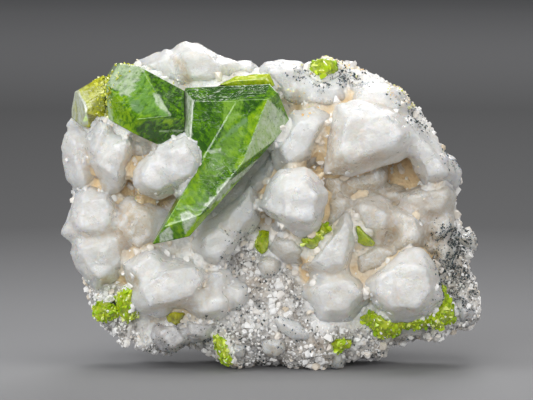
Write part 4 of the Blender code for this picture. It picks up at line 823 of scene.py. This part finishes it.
# The sugary crust: small sharp grains of quartz and feldspar that cover the open rock, thickest along the
# foot and in the hollow at the middle, each one grown loosely on with dark pores left between them.
def grain_shapes(name, count, corners, stretch, seed):
    """A few differently broken grains, about one unit long, for strewing."""
    shapes = bpy.data.collections.new(name)
    pick = random.Random(seed)
    for number in range(count):
        grain = bmesh.new()
        for corner in range(corners):
            way = Vector((pick.gauss(0, 1), pick.gauss(0, 1), pick.gauss(0, 1))).normalized()
            grain.verts.new(Vector((way.x * stretch[0], way.y * stretch[1], way.z * stretch[2])) / 2)
        bmesh.ops.convex_hull(grain, input=grain.verts[:])
        bmesh.ops.recalc_face_normals(grain, faces=grain.faces[:])
        mesh = bpy.data.meshes.new(f"{name} {number}")
        grain.to_mesh(mesh)
        grain.free()
        shapes.objects.link(bpy.data.objects.new(mesh.name, mesh))
    return shapes


def strewer():
    """A Geometry Nodes tree that strews grains over a surface where its value called share asks for them."""
    tree = bpy.data.node_groups.new("strewn grains", "GeometryNodeTree")
    for label, kind in (("Geometry", "Geometry"), ("Shapes", "Collection"), ("Material", "Material"),
                        ("Spacing", "Float"), ("Smallest", "Float"), ("Largest", "Float"), ("Seed", "Int")):
        tree.interface.new_socket(label, in_out="INPUT", socket_type="NodeSocket" + kind)
    tree.interface.new_socket("Geometry", in_out="OUTPUT", socket_type="NodeSocketGeometry")
    start = add_node(tree, "NodeGroupInput").outputs
    share = add_node(tree, "GeometryNodeInputNamedAttribute", {"Name": "share"}, data_type="FLOAT")
    points = add_node(tree, "GeometryNodeDistributePointsOnFaces", distribute_method="POISSON", inputs={
        "Density Max": 2e7, "Mesh": start["Geometry"], "Distance Min": start["Spacing"], "Seed": start["Seed"],
        "Density Factor": share.outputs[0]})
    shapes = add_node(tree, "GeometryNodeCollectionInfo", {
        "Separate Children": True, "Reset Children": True, "Collection": start["Shapes"]})

    def chance(kind, low, high, extra):
        made = add_node(tree, "FunctionNodeRandomValue", data_type=kind)
        for value, socket in zip((low, high), [socket for socket in made.inputs if socket.enabled]):
            socket.default_value = value
        seed = add_node(tree, "ShaderNodeMath", {0: start["Seed"], 1: extra})
        tree.links.new(seed.outputs[0], made.inputs["Seed"])
        return [socket for socket in made.outputs if socket.enabled][0]

    powered = add_node(tree, "ShaderNodeMath", {0: chance("FLOAT", 0.0, 1.0, 11), 1: 1.8}, operation="POWER")
    size = add_node(tree, "ShaderNodeMapRange", {
        "Value": powered.outputs[0], "To Min": start["Smallest"], "To Max": start["Largest"]})
    grains = add_node(tree, "GeometryNodeInstanceOnPoints", {
        "Pick Instance": True, "Points": points.outputs["Points"], "Instance": shapes.outputs[0],
        "Scale": size.outputs[0], "Rotation": chance("FLOAT_VECTOR", (0, 0, 0), (6.28, 6.28, 6.28), 12)})
    tone = add_node(tree, "GeometryNodeStoreNamedAttribute", data_type="FLOAT", domain="INSTANCE", inputs={
        "Name": "tone", "Geometry": grains.outputs[0], "Value": chance("FLOAT", 0.0, 1.0, 13)})
    real = add_node(tree, "GeometryNodeRealizeInstances", {0: tone.outputs[0]})
    coloured = add_node(tree, "GeometryNodeSetMaterial", {"Geometry": real.outputs[0], "Material": start["Material"]})
    tree.links.new(coloured.outputs[0], add_node(tree, "NodeGroupOutput").inputs[0])
    return tree


STREWER = strewer()


crystals = {node: bpy.data.objects[node + "_crystal"] for node in titanites}
everything = bmesh.new()
for piece in [rock, *feldspars.values(), *crystals.values()]:
    everything.from_mesh(piece.data)
COVER = BVHTree.FromBMesh(everything)
everything.free()


def lies_open(place, normal):
    """Whether a place of a surface is not buried inside another body."""
    place, normal = Vector(place), Vector(normal)
    hit, outward, _, _ = COVER.ray_cast(place + normal * 0.0002, normal, 0.006)
    return hit is None or outward.dot(normal) < 0


def strewn(name, carriers, share, shapes, material, spacing, smallest, largest, seed):
    """Grains on the carriers' surfaces, as one piece. Share gives their density from places and normals."""
    piece = joined([carrier.data for carrier in carriers], name)
    places, normals = places_of(piece.data), normals_of(piece.data)
    set_values(piece, "share", [wanted if wanted > 0 and lies_open(place, normal) else 0
                                for wanted, place, normal in zip(share(places, normals), places, normals)])
    strew = piece.modifiers.new("grains", "NODES")
    strew.node_group = STREWER
    chosen = {"Shapes": shapes, "Material": material, "Spacing": spacing, "Smallest": smallest,
              "Largest": largest, "Seed": seed}
    for item in STREWER.interface.items_tree:
        if item.in_out == "INPUT" and item.name in chosen:
            strew[item.identifier] = chosen[item.name]
    settled(piece)
    kept_inside(piece)
    for shape in list(shapes.objects):
        bpy.data.objects.remove(shape)
    bpy.data.collections.remove(shapes)
    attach(piece, "root")
    return piece


def grain_look():
    """Colour that runs through four tones from one grain to the next."""
    tree, given, made = look_group("grain look", ("First", "Second", "Third", "Fourth"), ("Second at", "Third at"))
    _, _, mix, _, stored, *_ = node_maker(tree)
    stops = (0.0, given["Second at"], given["Third at"], 1.0)
    colour = given["First"]
    for low, high, label in zip(stops, stops[1:], ("Second", "Third", "Fourth")):
        share = add_node(tree, "ShaderNodeMapRange", {"Value": stored("tone"), "From Min": low, "From Max": high})
        colour = mix(share.outputs[0], colour, given[label])
    tree.links.new(colour, made["Colour"])
    return tree


GRAIN_LOOK = grain_look()


def grain_material(name, first, second, third, fourth, second_at, third_at, rough=0.3):
    """Small grains of one kind, in four tones."""
    made, shader = node_material(name)
    group = add_node(made.node_tree, "ShaderNodeGroup", node_tree=GRAIN_LOOK, inputs={
        "First": first, "Second": second, "Third": third, "Fourth": fourth, "Second at": second_at,
        "Third at": third_at})
    made.node_tree.links.new(group.outputs["Colour"], shader.inputs["Base Color"])
    shader.inputs["Roughness"].default_value = rough
    return made


SUGAR = grain_material("sugary grains", (0.42, 0.40, 0.38), (0.92, 0.91, 0.90), (0.96, 0.96, 0.96),
                       (0.88, 0.79, 0.69), 0.22, 0.8)


def clustered(places, scale):
    """Smooth noise from about -1 to 1 at each place, which gathers what is strewn into clusters."""
    return np.array([waver.noise(Vector(place) * scale) for place in places])


def sugar_share(places, normals):
    """Grains crowd on the open rock in front and thin out over its sides and back."""
    share = np.maximum(0.9 * strongest(places, GRANULAR_ZONES, soft=1.5) * (normals[:, 1] < 0.45), 0.10)
    return share * np.clip(0.75 + clustered(places, 260) * 1.6, 0.1, 1) * (normals[:, 2] > -0.93)


# Where the dust of dark specks lies thickest, which leaves no large white grains.
DARKEST_DUST = ((41.5, 37.2), (47.0, 35.8), (51.2, 32.8), (49.0, 27.2), (51.5, 19.8), (50.0, 14.8), (43.8, 17.2),
                (42.0, 25.2), (40.0, 31.5))


def clump_share(places, normals):
    """Larger grains stand in clusters between the places where the fine ones crowd."""
    share = np.maximum(0.6 * strongest(places, GRANULAR_ZONES, soft=1.5) * (normals[:, 1] < 0.45), 0.05)
    return share * np.clip(0.35 - clustered(places, 260) * 1.8, 0.0, 1) * (1 - 0.8 * zone(places, DARKEST_DUST, 3.0))


sugary_crust = strewn("sugary_crust", [rock], sugar_share, grain_shapes("sugar grain", 6, 11, (1, 0.75, 0.6), 3),
                      SUGAR, 0.00078, 0.0006, 0.0017, 5)
strewn("sugary_clumps", [rock], clump_share, grain_shapes("sugar clump", 6, 14, (1, 0.85, 0.7), 51), SUGAR,
       0.0011, 0.0012, 0.0030, 53)


# The dark specks: black-green scales of chlorite dusted over the right edge and the top, thickest around the
# small titanite there. They sit on the rock, its crust and the feldspar alike.
CHLORITE = grain_material("chlorite", (0.012, 0.022, 0.024), (0.02, 0.036, 0.04), (0.03, 0.05, 0.055),
                          (0.10, 0.14, 0.16), 0.3, 0.6, rough=0.35)
CHLORITE_ZONES = [
    (1.0, DARKEST_DUST),
    (0.9, ((4.8, 74.4), (10.5, 72.2), (13.0, 70.2), (18.8, 72.2), (24.5, 71.8), (24.0, 73.2), (17.0, 76.8),
           (10.5, 76.8))),
    (0.3, ((29.5, 69.2), (33.5, 68.8), (39.5, 61.2), (38.5, 59.2), (33.8, 63.8))),
    (0.3, ((43.5, 54.8), (46.5, 53.2), (47.2, 49.8), (44.5, 50.8))),
    (0.12, MIDDLE_HOLLOW),
    (0.08, FOOT),
]


def chlorite_share(places, normals):
    """The dusted zones, broken up into clusters, in front only."""
    share = strongest(places, CHLORITE_ZONES, soft=2.5)
    near = share > 0
    clusters = np.zeros(len(places))
    clusters[near] = clustered(places[near], 420)
    return share * np.clip(0.72 + clusters * 2.6, 0, 1) * (normals[:, 1] < 0.5)


strewn("chlorite_specks", [rock, sugary_crust] + list(feldspars.values()), chlorite_share,
       grain_shapes("chlorite scale", 4, 8, (1, 0.9, 0.4), 4), CHLORITE, 0.00026, 0.0003, 0.0010, 6)


# Grains of yellow-green titanite that lie in swarms on the small crystals low on the specimen, with white
# grains among them, and olive ones in the seam between the two crystals at the upper left.
TITANITE_GRAINS = grain_material("titanite grains", (0.22, 0.40, 0.006), (0.42, 0.62, 0.012), (0.62, 0.78, 0.04),
                                 (0.84, 0.90, 0.35), 0.4, 0.8, rough=0.12)
swarms = [crystals[node] for node in SWARMS]


def seam_share(places, normals):
    """The seam between the olive crystal and the one beside it, and the upper left rim of that one."""
    rim = zone(places, ((-44.5, 73.5), (-39.8, 73.5), (-39.9, 62.0), (-43.2, 61.0)), 0.8, 0.8)
    crust = zone(places, ((-41.5, 70.5), (-38.5, 76.8), (-34.0, 77.6), (-35.5, 75.0), (-39.0, 71.0)), 0.8, 1.0)
    return np.maximum(0.7 * rim, 0.35 * crust) * (normals[:, 1] < 0.4)


OLIVE_GRAINS = grain_material("olive grains", (0.30, 0.30, 0.01), (0.56, 0.58, 0.02), (0.72, 0.76, 0.10),
                              (0.86, 0.88, 0.55), 0.4, 0.7, rough=0.15)
strewn("olive_grains_in_the_seam", [crystals["titanite_left_edge"], crystals["titanite_upper_left"]], seam_share,
       grain_shapes("olive grain", 5, 10, (1, 0.8, 0.55), 41), OLIVE_GRAINS, 0.0006, 0.0005, 0.0016, 43)
strewn("titanite_grains", swarms, lambda places, normals: np.full(len(places), 0.75),
       grain_shapes("titanite grain", 5, 10, (1, 0.8, 0.55), 8), TITANITE_GRAINS, 0.0009, 0.0007, 0.0022, 9)
strewn("facets_on_the_small_titanites",
       [crystals["titanite_below_pointed"], crystals["titanite_top"], crystals["titanite_middle_left"]],
       lambda places, normals: 0.5 * (normals[:, 1] < 0.5), grain_shapes("titanite facet", 5, 9, (1, 0.8, 0.6), 61),
       TITANITE_GRAINS, 0.0012, 0.0012, 0.0028, 63)
strewn("grains_among_the_titanite", swarms, lambda places, normals: np.full(len(places), 0.22),
       grain_shapes("white grain", 4, 10, (1, 0.8, 0.7), 14), SUGAR, 0.0009, 0.0006, 0.0014, 15)


# Small blocky crystals of feldspar that have grown in the creases between the large ones and stand about in
# the crust, cream to white.
SMALL_FELDSPAR = grain_material("small feldspar", (0.76, 0.65, 0.50), (0.87, 0.81, 0.73), (0.91, 0.89, 0.87),
                                (0.94, 0.94, 0.94), 0.3, 0.7, rough=0.4)
milk_of_rock = np.empty(len(rock.data.vertices), dtype=np.float32)
rock.data.attributes["milk"].data.foreach_get("value", milk_of_rock)


def crease_share(places, normals):
    """Some in every crease in front, fewer on the open crust, almost none behind."""
    share = np.maximum(0.16 * milk_of_rock, 0.10 * strongest(places, GRANULAR_ZONES, soft=1.5))
    return np.maximum(share * (normals[:, 1] < 0.4), 0.012)


strewn("small_feldspars", [rock], crease_share, grain_shapes("small feldspar", 7, 16, (1, 0.8, 0.75), 21),
       SMALL_FELDSPAR, 0.0012, 0.0009, 0.0034, 23)


# Stained grains, yellow, orange and white: around the small titanite on top, along the top right rim, in the
# gap above the large crystals and under the rounded pair.
STAINED = grain_material("stained grains", (0.74, 0.46, 0.18), (0.88, 0.74, 0.48), (0.92, 0.90, 0.86),
                         (0.66, 0.70, 0.10), 0.3, 0.75, rough=0.35)
STAINED_ZONES = [
    (0.5, ((7.5, 77.4), (10.0, 79.6), (16.0, 79.2), (25.0, 74.8), (20.0, 73.4), (17.0, 75.4), (10.0, 74.4))),
    (0.5, ((28.8, 72.8), (33.5, 71.8), (37.5, 67.2), (34.5, 65.4), (29.5, 68.8))),
    (0.6, ((-24.0, 72.8), (-20.5, 73.2), (-20.6, 69.6), (-22.0, 69.6))),
    (0.5, ((-34.5, 77.6), (-32.2, 77.6), (-32.4, 75.6), (-34.0, 75.8))),
    (0.5, ((-35.5, 45.4), (-32.0, 45.6), (-31.5, 41.0), (-35.0, 41.4))),
    (0.25, ((0.5, 70.8), (6.5, 71.2), (13.0, 65.8), (11.0, 63.6), (5.0, 62.2), (2.5, 65.8))),
]


def stained_share(places, normals):
    """Only the stained places, broken up."""
    return strongest(places, STAINED_ZONES, soft=1.0, ragged=1.0) * (normals[:, 1] < 0.5)


strewn("stained_grains", [rock] + list(feldspars.values()), stained_share,
       grain_shapes("stained grain", 4, 9, (1, 0.85, 0.7), 31), STAINED, 0.0005, 0.0004, 0.0011, 33)
